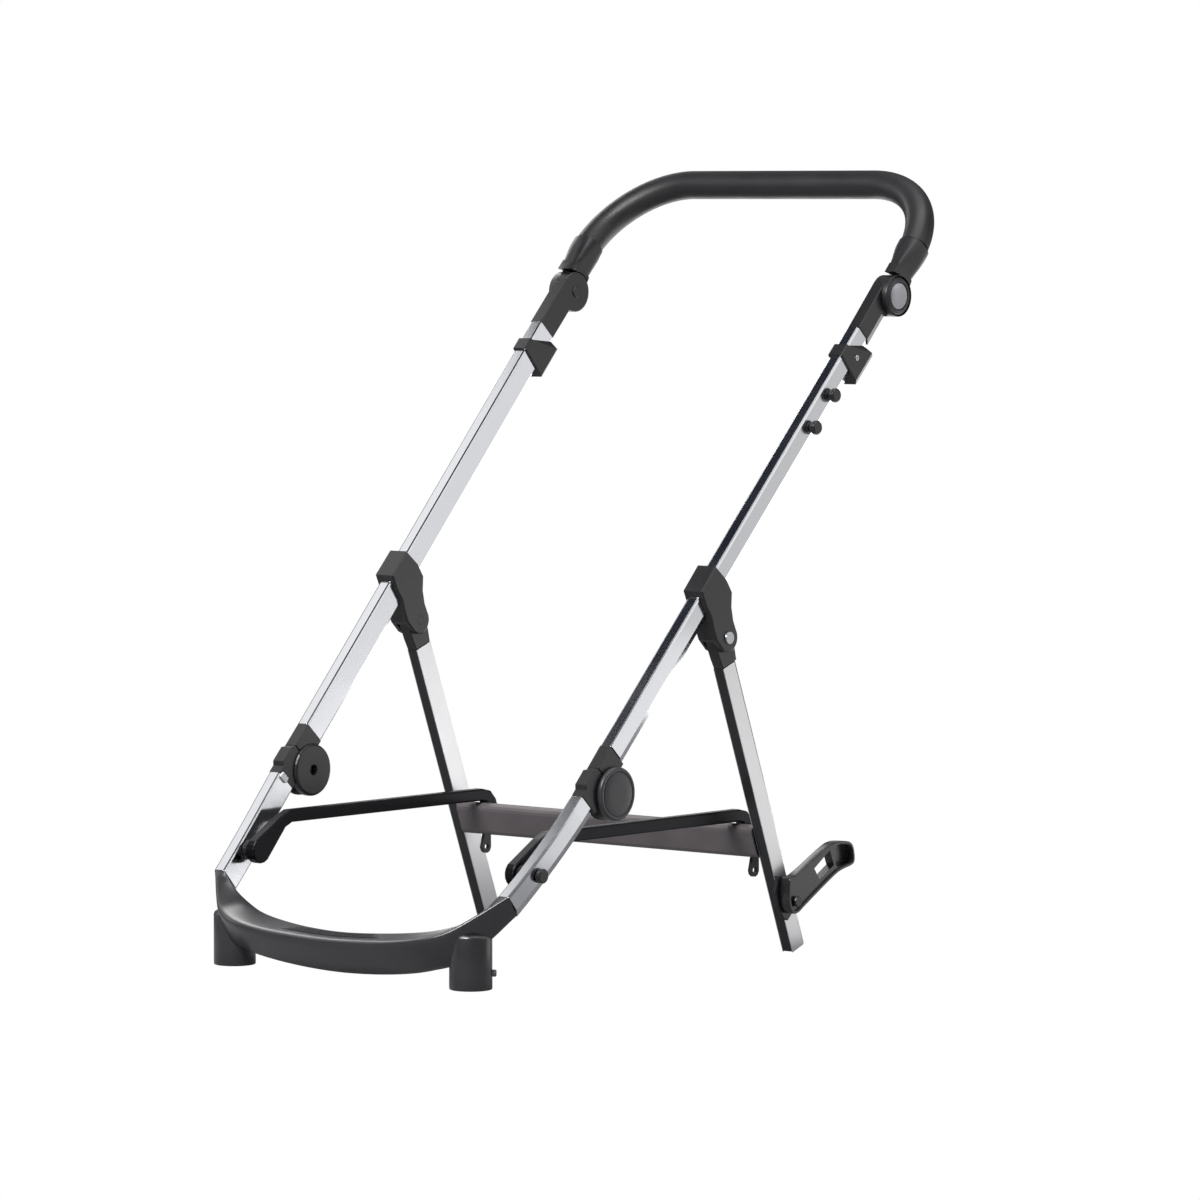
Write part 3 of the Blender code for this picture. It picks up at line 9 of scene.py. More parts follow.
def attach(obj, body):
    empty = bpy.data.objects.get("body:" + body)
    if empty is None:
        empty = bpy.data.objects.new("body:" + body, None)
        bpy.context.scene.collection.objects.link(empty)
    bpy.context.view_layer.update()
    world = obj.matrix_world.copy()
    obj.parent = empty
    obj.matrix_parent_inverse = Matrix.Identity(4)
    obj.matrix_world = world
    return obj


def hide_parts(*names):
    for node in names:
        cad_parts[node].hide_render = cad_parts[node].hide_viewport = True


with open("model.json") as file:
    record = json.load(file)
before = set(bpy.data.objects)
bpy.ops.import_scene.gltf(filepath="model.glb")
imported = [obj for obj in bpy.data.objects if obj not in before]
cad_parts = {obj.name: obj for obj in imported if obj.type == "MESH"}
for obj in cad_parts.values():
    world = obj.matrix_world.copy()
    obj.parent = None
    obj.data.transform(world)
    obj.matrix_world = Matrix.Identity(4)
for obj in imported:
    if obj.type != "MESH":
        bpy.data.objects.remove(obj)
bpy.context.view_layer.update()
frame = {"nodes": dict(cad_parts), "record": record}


# Front arch. The real one is a single moulding in glass-filled black nylon: a footrest with a raised
# lip, four low ribs on its tread and a round wheel socket under each end. It is pushed into the
# lower rails, whose ends hide its plugs, and the mould leaves a fine satin grain on it.
def linear(code):
    """Linear colour of an sRGB hex code."""
    parts = [int(code[i:i + 2], 16) / 255 for i in (1, 3, 5)]
    return tuple(c / 12.92 if c <= 0.04045 else ((c + 0.055) / 1.055) ** 2.4 for c in parts) + (1.0,)


def node(tree, kind, settings=None, links=None, **values):
    """Add a shader node: its settings, its socket values and the outputs that feed its sockets."""
    made = tree.nodes.new(kind)
    for key, value in (settings or {}).items():
        setattr(made, key, value)
    for key, value in values.items():
        made.inputs[key.replace("_", " ")].default_value = value
    for key, output in (links or {}).items():
        tree.links.new(output, made.inputs[key])
    return made


def blank(name):
    """A new material with a Principled shader; returns the material, its tree and the shader."""
    made = bpy.data.materials.new(name)
    made.use_nodes = True
    return made, made.node_tree, made.node_tree.nodes["Principled BSDF"]


def moulded(name, code, roughness, grain=0.45, relief=0.00001, coat=0.0, edge=0.0006):
    """Moulded plastic: an eroded grain of some tenths of a millimetre, slow tone changes, soft edges."""
    made, tree, shader = blank(name)
    place = node(tree, "ShaderNodeTexCoord").outputs["Object"]
    grain_noise = node(tree, "ShaderNodeTexNoise", None, {"Vector": place}, Scale=1000 / grain / 3,
                       Detail=3.0, Roughness=0.6)
    slow = node(tree, "ShaderNodeTexNoise", None, {"Vector": place}, Scale=18.0, Detail=4.0, Roughness=0.55)
    tone = node(tree, "ShaderNodeValToRGB", None, {"Fac": slow.outputs["Fac"]})
    base = linear(code)
    tone.color_ramp.elements[0].position = 0.3
    tone.color_ramp.elements[0].color = tuple(c * 0.86 for c in base[:3]) + (1.0,)
    tone.color_ramp.elements[1].position = 0.72
    tone.color_ramp.elements[1].color = tuple(min(c * 1.14, 1.0) for c in base[:3]) + (1.0,)
    gloss = node(tree, "ShaderNodeMapRange", None, {"Value": slow.outputs["Fac"]}, From_Min=0.3, From_Max=0.7,
                 To_Min=roughness - 0.04, To_Max=roughness + 0.05)
    corner = node(tree, "ShaderNodeBevel", {"samples": 4}, None, Radius=edge)
    relief_node = node(tree, "ShaderNodeBump", None, {"Height": grain_noise.outputs["Fac"],
                                                      "Normal": corner.outputs["Normal"]},
                       Strength=0.55, Distance=relief)
    tree.links.new(tone.outputs["Color"], shader.inputs["Base Color"])
    tree.links.new(gloss.outputs["Result"], shader.inputs["Roughness"])
    tree.links.new(relief_node.outputs["Normal"], shader.inputs["Normal"])
    shader.inputs["Coat Weight"].default_value = coat
    shader.inputs["Coat Roughness"].default_value = 0.22
    return made


def finish_node(name, made):
    """Give a CAD solid its material, on every slot that it has."""
    item = frame["nodes"][name]
    if not item.data.materials:
        item.data.materials.append(made)
    for i in range(len(item.data.materials)):
        item.data.materials[i] = made


def lofted(name, rings, made, sharp=35.0):
    """Closed skin over a row of rings, smooth except at edges sharper than the given angle."""
    bm = bmesh.new()
    loops = [[bm.verts.new(point) for point in ring] for ring in rings]
    for first, second in zip(loops, loops[1:]):
        for i in range(len(first)):
            j = (i + 1) % len(first)
            bm.faces.new((first[i], first[j], second[j], second[i]))
    bm.faces.new(list(reversed(loops[0])))
    bm.faces.new(loops[-1])
    return skin(name, bm, made, sharp)


def shade(mesh, sharp):
    """Smooth faces, with the edges sharper than the given angle left crisp."""
    bm = bmesh.new()
    bm.from_mesh(mesh)
    for face in bm.faces:
        face.smooth = True
    for edge in bm.edges:
        edge.smooth = not (len(edge.link_faces) == 2 and edge.calc_face_angle(0.0) > math.radians(sharp))
    bm.to_mesh(mesh)
    bm.free()


def skin(name, bm, made, sharp=35.0):
    """Object from a closed bmesh: faces outwards, smooth but for its sharp edges, one material."""
    bmesh.ops.recalc_face_normals(bm, faces=bm.faces)
    if bm.calc_volume(signed=True) < 0:
        bmesh.ops.reverse_faces(bm, faces=bm.faces)
    mesh = bpy.data.meshes.new(name)
    bm.to_mesh(mesh)
    bm.free()
    shade(mesh, sharp)
    mesh.materials.append(made)
    item = bpy.data.objects.new(name, mesh)
    bpy.context.scene.collection.objects.link(item)
    return item


def merge(item, tool, operation, sharp=35.0):
    """Join a tool with a piece or cut it away, and drop the tool."""
    change = item.modifiers.new("change", "BOOLEAN")
    change.object = tool
    change.operation = operation
    change.solver = "EXACT"
    made = item.data.materials[0]
    mesh = bpy.data.meshes.new_from_object(item.evaluated_get(bpy.context.evaluated_depsgraph_get()))
    item.modifiers.clear()
    old = item.data
    item.data = mesh
    bpy.data.meshes.remove(old)
    mesh.name = item.name
    mesh.materials.clear()
    mesh.materials.append(made)
    shade(mesh, sharp)
    tool_mesh = tool.data
    bpy.data.objects.remove(tool)
    bpy.data.meshes.remove(tool_mesh)


def turned(name, profile, place, made, steps=48, axis=(1.0, 0.0, 0.0), sharp=30.0):
    """Piece of revolution: profile points (radius, distance along the axis) from one face to the other."""
    bm = bmesh.new()
    facing = Vector(axis).to_track_quat("Z", "Y").to_matrix().to_4x4()
    loops = []
    turns = [2 * math.pi * i / steps for i in range(steps)]
    for radius, along in profile:
        loops.append([bm.verts.new((radius * math.cos(a), radius * math.sin(a), along)) for a in turns])
    for first, second in zip(loops, loops[1:]):
        for i in range(steps):
            j = (i + 1) % steps
            bm.faces.new((first[i], first[j], second[j], second[i]))
    bm.faces.new(list(reversed(loops[0])))
    bm.faces.new(loops[-1])
    bm.transform(Matrix.Translation(place) @ facing)
    return skin(name, bm, made, sharp)


arch_nylon = moulded("glass_filled_nylon_satin", "#242427", 0.34, coat=0.7, edge=0.0008)
# Lip, back, foot and keel corners in mm, from the middle of the arch out to the rail.
STATIONS = [
    ((0.0, -428.0, 46.0), (0.0, -388.6, 52.6), (0.0, -382.6, 7.0), (0.0, -389.6, 4.0)),
    ((50.0, -427.8, 47.0), (50.0, -387.6, 54.5), (50.0, -382.1, 8.5), (50.0, -389.1, 5.6)),
    ((100.0, -427.2, 50.8), (100.0, -378.6, 58.0), (99.0, -378.6, 13.5), (101.0, -390.6, 11.0)),
    ((140.0, -423.1, 57.0), (136.0, -372.1, 63.5), (133.0, -371.6, 22.0), (141.0, -392.6, 18.5)),
    ((172.0, -409.6, 66.5), (166.0, -364.6, 73.0), (162.0, -361.6, 33.0), (172.0, -388.6, 28.0)),
    ((196.0, -388.6, 83.0), (188.0, -362.6, 86.0), (186.0, -351.6, 56.0), (200.0, -368.6, 52.0)),
    ((223.5, -360.6, 104.2), (207.0, -360.6, 104.2), (207.0, -340.3, 80.8), (218.0, -340.3, 80.8)),
]
LIP_ROUNDING, TREAD_ROUNDING, KEEL_ROUNDING, END_ROUNDING = 13.0, 4.0, 7.0, 2.5
RIB_PLACES = (0.28, 0.44, 0.60, 0.76)
RIB_RISE, RIB_TAPER = 1.5, 4.0
RIB_REACH, RIB_STEP_IN = 78.0, 22.0
RIB_SECTION = ((-0.034, 0.0), (-0.02, 1.0), (0.02, 1.0), (0.034, 0.0))
UP = Vector((0.0, 0.0, 1.0))


def station_point(i, t, corner):
    """Point (mm) on a smooth curve through one corner of all stations, t of the way past station i."""
    p1, p2 = Vector(STATIONS[i][corner]), Vector(STATIONS[i + 1][corner])
    if i:
        p0 = Vector(STATIONS[i - 1][corner])
    else:
        p0 = Vector(STATIONS[1][corner])
        p0.x = -p0.x
    p3 = Vector(STATIONS[i + 2][corner]) if i + 2 < len(STATIONS) else p2 + (p2 - p1)
    return 0.5 * (2 * p1 + (p2 - p0) * t + (2 * p0 - 5 * p1 + 4 * p2 - p3) * t ** 2
                  + (3 * p1 - p0 - 3 * p2 + p3) * t ** 3)


def arch_ring(i, t):
    """Section of the arch, m: a broad round lip, a tread with four low ribs, a rear wall and a keel."""
    corners = [station_point(i, t, corner) for corner in range(4)]
    share = ((i + t) / (len(STATIONS) - 1)) ** 3
    reaches = [wide + (END_ROUNDING - wide) * share
               for wide in (LIP_ROUNDING, TREAD_ROUNDING, END_ROUNDING, KEEL_ROUNDING)]
    ring = []
    for k, corner in enumerate(corners):
        start = corner + (corners[k - 1] - corner).normalized() * reaches[k]
        end = corner + (corners[(k + 1) % 4] - corner).normalized() * reaches[k]
        for step in range(9):
            q = step / 8
            ring.append(start * (1 - q) ** 2 + corner * 2 * q * (1 - q) + end * q * q)
        if k == 0:
            after = corners[1] + (corner - corners[1]).normalized() * reaches[1]
            for place in RIB_PLACES:
                rib_end = RIB_REACH - RIB_STEP_IN * place
                rise = RIB_RISE * min(max((rib_end - abs(corner.x)) / RIB_TAPER, 0.0), 1.0)
                for offset, part in RIB_SECTION:
                    ring.append(end.lerp(after, place + offset) + UP * rise * part)
    return [point / 1000 for point in ring]


half = [arch_ring(i, k / 8) for i in range(6) for k in range(8)] + [arch_ring(5, 1.0)]
other = [[Vector((-q.x, q.y, q.z)) for q in ring] for ring in reversed(half[1:])]
arch = lofted("arch_shell", other + half, arch_nylon, sharp=32.0)

# Wheel sockets of the arch: the outside, the bell and stem bore from below, and the hole in the wall
# that the release button stands in, turned 40 degrees to the rear.
SOCKET_X, SOCKET_Y = 0.179, -0.37355
SOCKET = [(0.0226, 0.0), (0.0236, 0.0004), (0.024, 0.0014), (0.024, 0.058), (0.0228, 0.0606),
          (0.0196, 0.0626)]
SOCKET_BORE = [(0.0195, -0.002), (0.0195, 0.014), (0.0072, 0.014), (0.0072, 0.05)]
RELEASE_HOLE = [(0.0043, 0.0), (0.0043, 0.03)]
RELEASE_HEIGHT = 0.018
RELEASE_ACROSS, RELEASE_BACK = 0.766, 0.643
for side in (1, -1):
    foot = Vector((side * SOCKET_X, SOCKET_Y, 0.0))
    merge(arch, turned("post", SOCKET, foot, arch_nylon, 96, UP), "UNION")
    merge(arch, turned("bell", SOCKET_BORE, foot, arch_nylon, 96, UP), "DIFFERENCE")
    hole = turned("release_hole", RELEASE_HOLE, foot + UP * RELEASE_HEIGHT, arch_nylon, 48,
                  (side * RELEASE_ACROSS, RELEASE_BACK, 0.0))
    merge(arch, hole, "DIFFERENCE")
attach(arch, "front_frame")
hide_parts("front_arch")


# Lower and upper rails. Both are drawn from the same extrusion, 16.5 by 31 mm with the outer rear
# corner cut off, in bright anodised aluminium; the lower ones are bent forwards. The draw leaves
# fine lines along them, and a worn anodised coat gives the satin sheen.
def drawn(name, code, roughness, turn, lines=0.000002, edge=0.0004):
    """Anodised aluminium extrusion: fine lines along its length, which lies turn radians above +Y."""
    made, tree, shader = blank(name)
    place = node(tree, "ShaderNodeTexCoord").outputs["Object"]
    along = node(tree, "ShaderNodeMapping", {"vector_type": "POINT"}, {"Vector": place},
                 Rotation=(-turn, 0.0, 0.0), Scale=(1.0, 1.0, 1.0))
    stretched = node(tree, "ShaderNodeVectorMath", {"operation": "MULTIPLY"},
                     {0: along.outputs["Vector"]})
    stretched.inputs[1].default_value = (1600.0, 9.0, 1600.0)
    streak = node(tree, "ShaderNodeTexNoise", None, {"Vector": stretched.outputs["Vector"]}, Scale=1.0,
                  Detail=2.0, Roughness=0.5)
    cloud = node(tree, "ShaderNodeTexNoise", None, {"Vector": place}, Scale=9.0, Detail=4.0, Roughness=0.5)
    gloss = node(tree, "ShaderNodeMapRange", None, {"Value": cloud.outputs["Fac"]}, From_Min=0.3,
                 From_Max=0.7, To_Min=roughness - 0.03, To_Max=roughness + 0.04)
    tone = node(tree, "ShaderNodeMix", {"data_type": "RGBA"}, {"Factor": streak.outputs["Fac"]})
    tone.inputs["A"].default_value = tuple(c * 0.94 for c in linear(code)[:3]) + (1.0,)
    tone.inputs["B"].default_value = linear(code)
    corner = node(tree, "ShaderNodeBevel", {"samples": 4}, None, Radius=edge)
    relief = node(tree, "ShaderNodeBump", None, {"Height": streak.outputs["Fac"],
                                                 "Normal": corner.outputs["Normal"]},
                  Strength=0.12, Distance=lines)
    tree.links.new(tone.outputs["Result"], shader.inputs["Base Color"])
    tree.links.new(gloss.outputs["Result"], shader.inputs["Roughness"])
    tree.links.new(relief.outputs["Normal"], shader.inputs["Normal"])
    shader.inputs["Metallic"].default_value = 1.0
    return made


RAIL_TURN = math.radians(46.8)
rail_aluminium = drawn("anodised_aluminium_rail", "#dcdde0", 0.15, RAIL_TURN)
for tag in ("left", "right"):
    finish_node("upper_rail_" + tag, rail_aluminium)
    finish_node("lower_rail_" + tag, rail_aluminium)


# Fold hubs. Two halves in black glass-filled nylon plug into the rails' ends and meet behind them on
# a steel pin. A black drum with a hole for the seat's peg is let into the inner side, and a white
# acetal lock piece shows at its edge.
hub_nylon = moulded("hub_nylon_black", "#1b1b1d", 0.36, coat=0.1)
latch_acetal = moulded("latch_acetal_white", "#f1f1ef", 0.35)
for tag in ("left", "right"):
    finish_node("hub_lower_" + tag, hub_nylon)
    finish_node("hub_upper_" + tag, hub_nylon)
    finish_node("hub_inner_cap_" + tag, hub_nylon)
    finish_node("hub_latch_" + tag, latch_acetal)

# Hub covers. Round dark grey caps that snap over the outer side of each hub, with a rounded rim and a
# thin groove round their plain disc.
body_of = {}
for body, members in frame["record"]["behaviour"]["bodies"].items():
    for member in members:
        body_of[member] = body

cover_grey = moulded("hub_cover_grey", "#3d3c40", 0.34, edge=0.0003)
HUB_OUTSIDE, HUB_Y, HUB_Z = 0.2384, -0.19704, 0.20767
RIM = [(0.0298, 0.0), (0.0303, 0.0006), (0.0303, 0.0038), (0.0299, 0.0049), (0.0290, 0.0057),
       (0.0278, 0.0060)]
GROOVE = [(0.0262, 0.0059), (0.0254, 0.0055), (0.0252, 0.0050), (0.0246, 0.0050), (0.0244, 0.0055)]
DISC = [(0.0238, 0.0057), (0.0120, 0.0059)]
for side, tag in ((1, "left"), (-1, "right")):
    cover = turned("hub_cover_" + tag, RIM + GROOVE + DISC, (side * HUB_OUTSIDE, HUB_Y, HUB_Z),
                   cover_grey, 96, (side, 0.0, 0.0))
    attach(cover, body_of["hub_outer_cap_" + tag])
    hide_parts("hub_outer_cap_" + tag)


# Hub pins. Plain turned steel pins, zinc plated, that run through both halves of each hub and carry the
# whole fold.
def plated(name, code, roughness):
    """Zinc-plated steel: a mottled satin metal."""
    made, tree, shader = blank(name)
    place = node(tree, "ShaderNodeTexCoord").outputs["Object"]
    spots = node(tree, "ShaderNodeTexVoronoi", {"feature": "F1"}, {"Vector": place}, Scale=420.0)
    gloss = node(tree, "ShaderNodeMapRange", None, {"Value": spots.outputs["Distance"]}, From_Min=0.0,
                 From_Max=0.8, To_Min=roughness - 0.05, To_Max=roughness + 0.06)
    tone = node(tree, "ShaderNodeMix", {"data_type": "RGBA"}, {"Factor": spots.outputs["Distance"]})
    tone.inputs["A"].default_value = linear(code)
    tone.inputs["B"].default_value = tuple(c * 0.85 for c in linear(code)[:3]) + (1.0,)
    corner = node(tree, "ShaderNodeBevel", {"samples": 4}, None, Radius=0.0005)
    tree.links.new(tone.outputs["Result"], shader.inputs["Base Color"])
    tree.links.new(gloss.outputs["Result"], shader.inputs["Roughness"])
    tree.links.new(corner.outputs["Normal"], shader.inputs["Normal"])
    shader.inputs["Metallic"].default_value = 1.0
    return made


pin_steel = plated("zinc_plated_steel", "#b9babd", 0.3)
for tag in ("left", "right"):
    finish_node("hub_pin_" + tag, pin_steel)

# Wheel releases. A small grey moulded button stands out of each wheel socket's wall towards the rear.
# A spring behind it holds it in the wheel's groove until it is pushed in.
release_grey = moulded("release_grey", "#6b6a6e", 0.36)
for tag in ("left", "right"):
    finish_node("wheel_release_button_" + tag, release_grey)

# Leg brackets. A black nylon clamp grips each upper rail and forks behind it round the moulded top of the
# rear leg, which turns on a pin. The left pin shows plated steel and the right one a black head.
bracket_nylon = moulded("bracket_nylon_black", "#1b1b1d", 0.36, coat=0.1)
for tag in ("left", "right"):
    finish_node("leg_bracket_" + tag, bracket_nylon)
    finish_node("leg_cup_" + tag, bracket_nylon)
    finish_node("leg_pin_" + tag, pin_steel if tag == "left" else bracket_nylon)

# Rear legs. Bright anodised extrusions, open below for the wheel unit, with a black strip pushed
# into the channel down their front.
LEG_TURN = math.radians(110.9)
leg_aluminium = drawn("anodised_aluminium_leg", "#d2d2d3", 0.3, LEG_TURN)
strip_black = moulded("leg_strip_black", "#202022", 0.4, grain=0.3)
for tag in ("left", "right"):
    finish_node("rear_leg_" + tag, leg_aluminium)
    finish_node("leg_strip_" + tag, strip_black)

# Crossbar. A flat tube with rounded edges that reaches from leg to leg. Its dark grey powder coat has a
# fine orange-peel texture.
finish_node("crossbar", moulded("crossbar_powder_grey", "#5c5759", 0.4, grain=0.5, relief=0.00004))

# Struts. Flat cranked bars in black-anodised aluminium from the lower rails to black-coated steel
# plates behind the crossbar. They turn on pins with black nylon heads, bosses and plugs.
strut_black = drawn("strut_black_anodised", "#29292b", 0.36, 0.0)
anchor_coat = moulded("anchor_black_coat", "#28282a", 0.4)
for tag in ("left", "right"):
    finish_node("strut_" + tag, strut_black)
    finish_node("strut_anchor_" + tag, anchor_coat)
    finish_node("strut_pin_" + tag, bracket_nylon)
    finish_node("strut_boss_" + tag, bracket_nylon)
    finish_node("strut_plug_" + tag, bracket_nylon)

# Fold triggers and studs. A black nylon collar slides on each upper rail, held by a small plated
# screw in its outer side. Two black studs with round heads stand on the left rail below its collar.
trigger_nylon = moulded("trigger_nylon_black", "#1b1b1d", 0.36, coat=0.1)
for tag in ("left", "right"):
    finish_node("fold_trigger_" + tag, trigger_nylon)
finish_node("stud_lower", trigger_nylon)
finish_node("stud_upper", trigger_nylon)

SCREW_X, SCREW_Y, SCREW_Z = 0.2532, 0.2255, 0.6875
SCREW_HEAD = [(0.0034, -0.001), (0.0034, 0.0006), (0.0030, 0.0010), (0.0012, 0.0010), (0.0010, 0.0004)]
for side, tag in ((1, "left"), (-1, "right")):
    screw = turned("trigger_screw_" + tag, SCREW_HEAD, (side * SCREW_X, SCREW_Y, SCREW_Z), pin_steel, 32,
                   (side, 0.0, 0.0))
    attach(screw, body_of["fold_trigger_" + tag])

# Handle joints. The nylon sleeve on the rail and the handle's arm meet at a round joint with a push
# button in the middle of its outer drum. The button's silver paint holds fine metal flakes.
joint_nylon = moulded("joint_nylon_black", "#1c1c1e", 0.36, coat=0.1)
silver = moulded("button_silver_paint", "#a9a7ac", 0.34, relief=0.000002)
silver.node_tree.nodes["Principled BSDF"].inputs["Metallic"].default_value = 0.85
for tag in ("left", "right"):
    finish_node("handle_sleeve_" + tag, joint_nylon)
    finish_node("handle_cap_" + tag, joint_nylon)
    finish_node("handle_button_" + tag, silver)
    finish_node("handle_pin_" + tag, joint_nylon)
finish_node("handle_tube", pin_steel)


# Grip. A black leather-look sleeve over a padded layer covers the whole bent steel tube between the
# arms. It is one smooth round skin here, drawn along the tube's own line.
def leather(name, code):
    """Leather look: pebbles of about a millimetre and a half with creases between them; the colour darkens
    towards each pebble's edge, a painted shade in the creases.
    """
    made, tree, shader = blank(name)
    place = node(tree, "ShaderNodeTexCoord").outputs["Object"]
    pebble = node(tree, "ShaderNodeTexVoronoi", {"feature": "SMOOTH_F1"}, {"Vector": place}, Scale=650.0)
    slow = node(tree, "ShaderNodeTexNoise", None, {"Vector": place}, Scale=25.0, Detail=4.0, Roughness=0.6)
    gloss = node(tree, "ShaderNodeMapRange", None, {"Value": slow.outputs["Fac"]}, From_Min=0.3, From_Max=0.7,
                 To_Min=0.38, To_Max=0.48)
    # Painted shade: the colour falls to 0.6 of itself towards each pebble's edge, as shade in the creases.
    tone = node(tree, "ShaderNodeMix", {"data_type": "RGBA"}, {"Factor": pebble.outputs["Distance"]})
    tone.inputs["A"].default_value = linear(code)
    tone.inputs["B"].default_value = tuple(c * 0.6 for c in linear(code)[:3]) + (1.0,)
    relief = node(tree, "ShaderNodeBump", {"invert": True}, {"Height": pebble.outputs["Distance"]},
                  Strength=0.5, Distance=0.00012)
    tree.links.new(tone.outputs["Result"], shader.inputs["Base Color"])
    tree.links.new(gloss.outputs["Result"], shader.inputs["Roughness"])
    tree.links.new(relief.outputs["Normal"], shader.inputs["Normal"])
    return made


PIVOT = Vector((0.244177, 0.297915, 0.758551))
BAR_BEHIND = -0.0093
BAR_HALF = 0.2505
BAR_CORNER = 0.112
BAR_REACH = 0.170
ARM_LENGTH = 0.070
GRIP_RADIUS = 0.0172


def handle_place(x, s, v):
    """World place of a point s beyond the handle's pivot and v behind it, square to the rail."""
    along = Vector((0.0, math.cos(RAIL_TURN), math.sin(RAIL_TURN)))
    behind = Vector((0.0, math.sin(RAIL_TURN), -math.cos(RAIL_TURN)))
    place = along * s + behind * v
    return Vector((x, PIVOT.y + place.y, PIVOT.z + place.z))


def bar_frames(steps):
    """Centre (x, s) and heading along the whole bar, from the left arm's end to the right arm's."""
    first = math.asin((ARM_LENGTH - BAR_REACH + BAR_CORNER) / BAR_CORNER)
    half = []
    for i in range(steps + 1):
        angle = first + (math.pi / 2 - first) * i / steps
        half.append((BAR_HALF - BAR_CORNER + BAR_CORNER * math.cos(angle),
                     BAR_REACH - BAR_CORNER + BAR_CORNER * math.sin(angle), angle + math.pi / 2))
    parts = 24
    middle = [((BAR_HALF - BAR_CORNER) * (1 - 2 * i / parts), BAR_REACH, math.pi) for i in range(1, parts)]
    other = [(-x, s, 2 * math.pi - heading) for x, s, heading in reversed(half)]
    return half + middle + other


def ring_at(frame_at, radius, count):
    """Round ring square to the bar at one of its frames."""
    x, s, heading = frame_at
    out = (math.sin(heading), -math.cos(heading))
    ring = []
    for i in range(count):
        angle = 2 * math.pi * i / count
        side, depth = radius * math.cos(angle), radius * math.sin(angle)
        ring.append(handle_place(x + out[0] * side, s + out[1] * side, BAR_BEHIND + depth))
    return ring


grip_leather = leather("grip_leather_black", "#222224")
grip = lofted("grip_sleeve", [ring_at(place, GRIP_RADIUS, 40) for place in bar_frames(40)], grip_leather)
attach(grip, "handle")
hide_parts("handle_grip")


# Handle arms. Black nylon mouldings: a round eye on the outer half of the pivot that grows into a
# round socket of the grip's own width, in which the bent tube ends. The right arm's inner side shows
# in full, and the left one's lies behind its drum.
NECK_START = 0.0262
NECK_DEPTH = 0.0158
NECK_GAP = 0.0006
ARM_OUTSIDE = 0.0152
ARM_INSIDE = {1: -0.001, -1: -0.0082}
EYE_RADIUS = 0.0245
SOCKET_SHIFT = 0.0003
BLOCK_POWER, POWER_DROP = 7.0, 4.2


def arm_ring(side, s, count):
    """Ring of the arm: a block with rounded edges near the pivot, nearly the grip's circle at its end."""
    share = min(max((s - NECK_START) / (ARM_LENGTH - NECK_START), 0.0), 1.0)
    ease = share * share * (3 - 2 * share)
    inner, outer = ARM_INSIDE[side], ARM_OUTSIDE
    centre = (inner + outer) / 2 * (1 - ease) + (BAR_HALF - PIVOT.x - SOCKET_SHIFT) * ease
    half = (outer - inner) / 2 * (1 - ease) + GRIP_RADIUS * ease
    deep = NECK_DEPTH * (1 - ease) + GRIP_RADIUS * ease
    power = BLOCK_POWER - POWER_DROP * ease
    ring = []
    for i in range(count):
        angle = 2 * math.pi * i / count
        c, d = math.cos(angle), math.sin(angle)
        reach = (abs(c) ** power + abs(d) ** power) ** (-1.0 / power)
        point = handle_place(PIVOT.x + centre + half * reach * c, s, BAR_BEHIND + deep * reach * d)
        ring.append(Vector((side * point.x, point.y, point.z)))
    return ring


def plate(name, outlines, made, rounding=0.0, segments=3):
    """Plate between two outlines that face each other along X, with the rims of both faces rounded."""
    bm = bmesh.new()
    loops = [[bm.verts.new(point) for point in outline] for outline in outlines]
    bm.faces.new(list(reversed(loops[0])))
    bm.faces.new(loops[1])
    for i in range(len(loops[0])):
        j = (i + 1) % len(loops[0])
        bm.faces.new((loops[0][i], loops[0][j], loops[1][j], loops[1][i]))
    if rounding:
        rims = [edge for edge in bm.edges if abs(edge.verts[0].co.x - edge.verts[1].co.x) < 1e-7]
        bmesh.ops.recalc_face_normals(bm, faces=bm.faces)
        bmesh.ops.bevel(bm, geom=rims, offset=rounding, offset_type="OFFSET", segments=segments, profile=0.5,
                        affect="EDGES", material=-1)
    return skin(name, bm, made)


def arm_block(name, side):
    """Eye and root of the arm, as a plate. A hook in front leaves room for the forward tilt."""
    outline = [(EYE_RADIUS * math.cos(math.radians(a)), EYE_RADIUS * math.sin(math.radians(a)))
               for a in range(20, 321, 5)]
    outline += [(0.0196, -0.0175), (0.0180, -0.0196), (0.0164, -0.0226), (0.0156, -0.0251), (0.030, -0.0251),
                (0.030, 0.0065)]
    faces = [[(side * (PIVOT.x + w), *handle_place(0.0, s, v).yz) for s, v in outline]
             for w in (ARM_INSIDE[side], ARM_OUTSIDE)]
    return plate(name, faces, joint_nylon, rounding=0.0009)


# Cuts round the pivot, as radius and distance out from the rail's middle: the lap over the sleeve's
# eye, the seat of the drum ring and the pin's bore.
LAP = [(0.0251, -0.02), (0.0251, 0.0033)]
SEAT = [(0.0238, 0.0083), (0.0238, 0.03)]
PIN_BORE = [(0.0053, -0.03), (0.0053, 0.03)]
for side, tag in ((1, "left"), (-1, "right")):
    arm = arm_block("arm_shell_" + tag, side)
    across = (side, 0.0, 0.0)
    pivot = Vector((side * PIVOT.x, PIVOT.y, PIVOT.z))
    merge(arm, turned("lap", LAP, pivot, joint_nylon, 96, across), "DIFFERENCE")
    merge(arm, turned("seat", SEAT, pivot, joint_nylon, 96, across), "DIFFERENCE")
    neck_length = ARM_LENGTH - NECK_START - NECK_GAP
    neck = [arm_ring(side, NECK_START + neck_length * i / 20, 48) for i in range(21)]
    merge(arm, lofted("neck", neck, joint_nylon), "UNION")
    merge(arm, turned("bore", PIN_BORE, pivot, joint_nylon, 48, across), "DIFFERENCE")
    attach(arm, "handle")
    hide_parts("handle_arm_" + tag)


